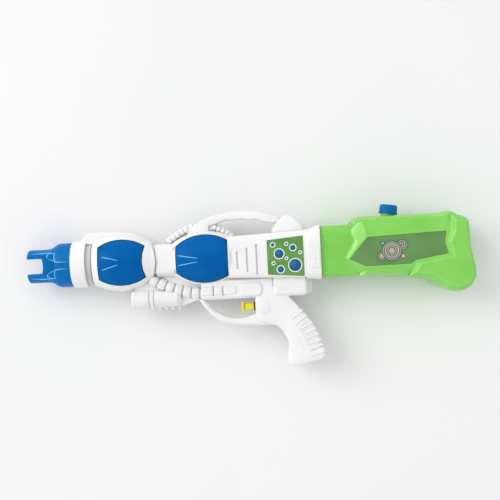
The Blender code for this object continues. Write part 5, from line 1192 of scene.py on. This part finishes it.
springPiece()
tubes = {
    "radius": 0.0024, "corners": 16, "perSpan": 8,
    "delivery_tube": (
        (0.0387, -0.02905), (0.0387, -0.02505), (0.0387, -0.02005), (0.0357, -0.01255),
        (0.0247, -0.0050), (0.0087, 0.0), (-0.028, 0.0), (-0.109, 0.0), (-0.2534, 0.0),
    ),
    "suction_tube": (
        (0.0553, -0.04345), (0.0593, -0.04345), (0.0638, -0.03995), (0.0613, -0.03145),
        (0.0548, -0.02445), (0.0558, -0.0180), (0.0623, -0.0160), (0.0783, -0.0160), (0.1183, -0.0170),
        (0.1703, -0.0220), (0.2253, -0.0270), (0.2423, -0.0363), (0.2643, -0.0463),
    ),
}
for tubeName in ("delivery_tube", "suction_tube"):
    route = smoothLine([spot(*point) for point in tubes[tubeName]], tubes["perSpan"])
    mesh = meshFrom(tubeName, sweep(route, tubes["radius"], tubes["corners"]), 60)
    addPiece(f"{tubeName}_vinyl", mesh, vinyl, "squirter", "tube", tubeName)
print("spring and tubes made")


# camera straight above, one large lamp from the upper left and a plain sky
view = {"height": 1.0, "offsetY": 0.008, "lens": 56.25, "sensor": 36.0, "turn": math.radians(-2.8)}
camera = bpy.data.objects.new("plan_camera", bpy.data.cameras.new("plan_camera"))
camera.data.lens = view["lens"]
camera.data.sensor_width = view["sensor"]
camera.data.clip_start = 0.01
camera.location = spot(0.0, view["offsetY"], view["height"])
camera.rotation_euler = (0.0, 0.0, view["turn"])
stageScene.collection.objects.link(camera)
stageScene.camera = camera

light = {
    "size": 3.6, "watts": 116.0, "place": (-3.60, 1.90), "height": 3.20,
    "side": (0.86, 0.87, 0.87), "zenith": (0.58, 0.585, 0.585), "skyBlend": (0.80, 0.97),
}
lamp = bpy.data.objects.new("key", bpy.data.lights.new("key", "AREA"))
lamp.data.shape = "DISK"
lamp.data.size = light["size"]
lamp.data.energy = light["watts"]
lamp.location = spot(*light["place"], light["height"])
lamp.rotation_euler = (spot(0.0, 0.0) - lamp.location).to_track_quat("-Z", "Y").to_euler()
stageScene.collection.objects.link(lamp)


def studioSky():  # bright round the sides and darker overhead, where the camera stands
    world = bpy.data.worlds.new("studio")
    world.use_nodes = True
    tree = world.node_tree
    start = Wire(tree, None)
    way = start.node("ShaderNodeTexCoord")
    rise = start.node("ShaderNodeSeparateXYZ", None, {0: way}, out=2)
    sky = rise.step(*light["skyBlend"]).mixed(rgba(light["side"]), rgba(light["zenith"]))
    tree.links.new(sky.socket, tree.nodes["Background"].inputs["Color"])
    stageScene.world = world


studioSky()

floorLook = {
    "base": (0.87, 0.88, 0.87), "warm": (0.90, 0.89, 0.89), "cloud": 3.0, "cloudBlend": (0.3, 0.7),
    "rough": 0.6, "half": 4.0, "drop": 0.0004,
}


def floorPiece():
    shape = bmesh.new()
    bmesh.ops.create_grid(shape, x_segments=1, y_segments=1, size=floorLook["half"])
    mesh = bpy.data.meshes.new("floor")
    shape.to_mesh(mesh)
    shape.free()
    finish = Finish("floor_sheet")
    cloud = finish.noise(floorLook["cloud"], 2.0).step(*floorLook["cloudBlend"])
    colour = cloud.mixed(rgba(floorLook["base"]), rgba(floorLook["warm"]))
    finish.set(Base_Color=colour, Roughness=floorLook["rough"])
    mesh.materials.append(finish.material)
    floor = bpy.data.objects.new("floor", mesh)
    floor.location = (0.0, 0.0, -floorLook["drop"])
    stageScene.collection.objects.link(floor)


floorPiece()
print("camera, light and floor set")
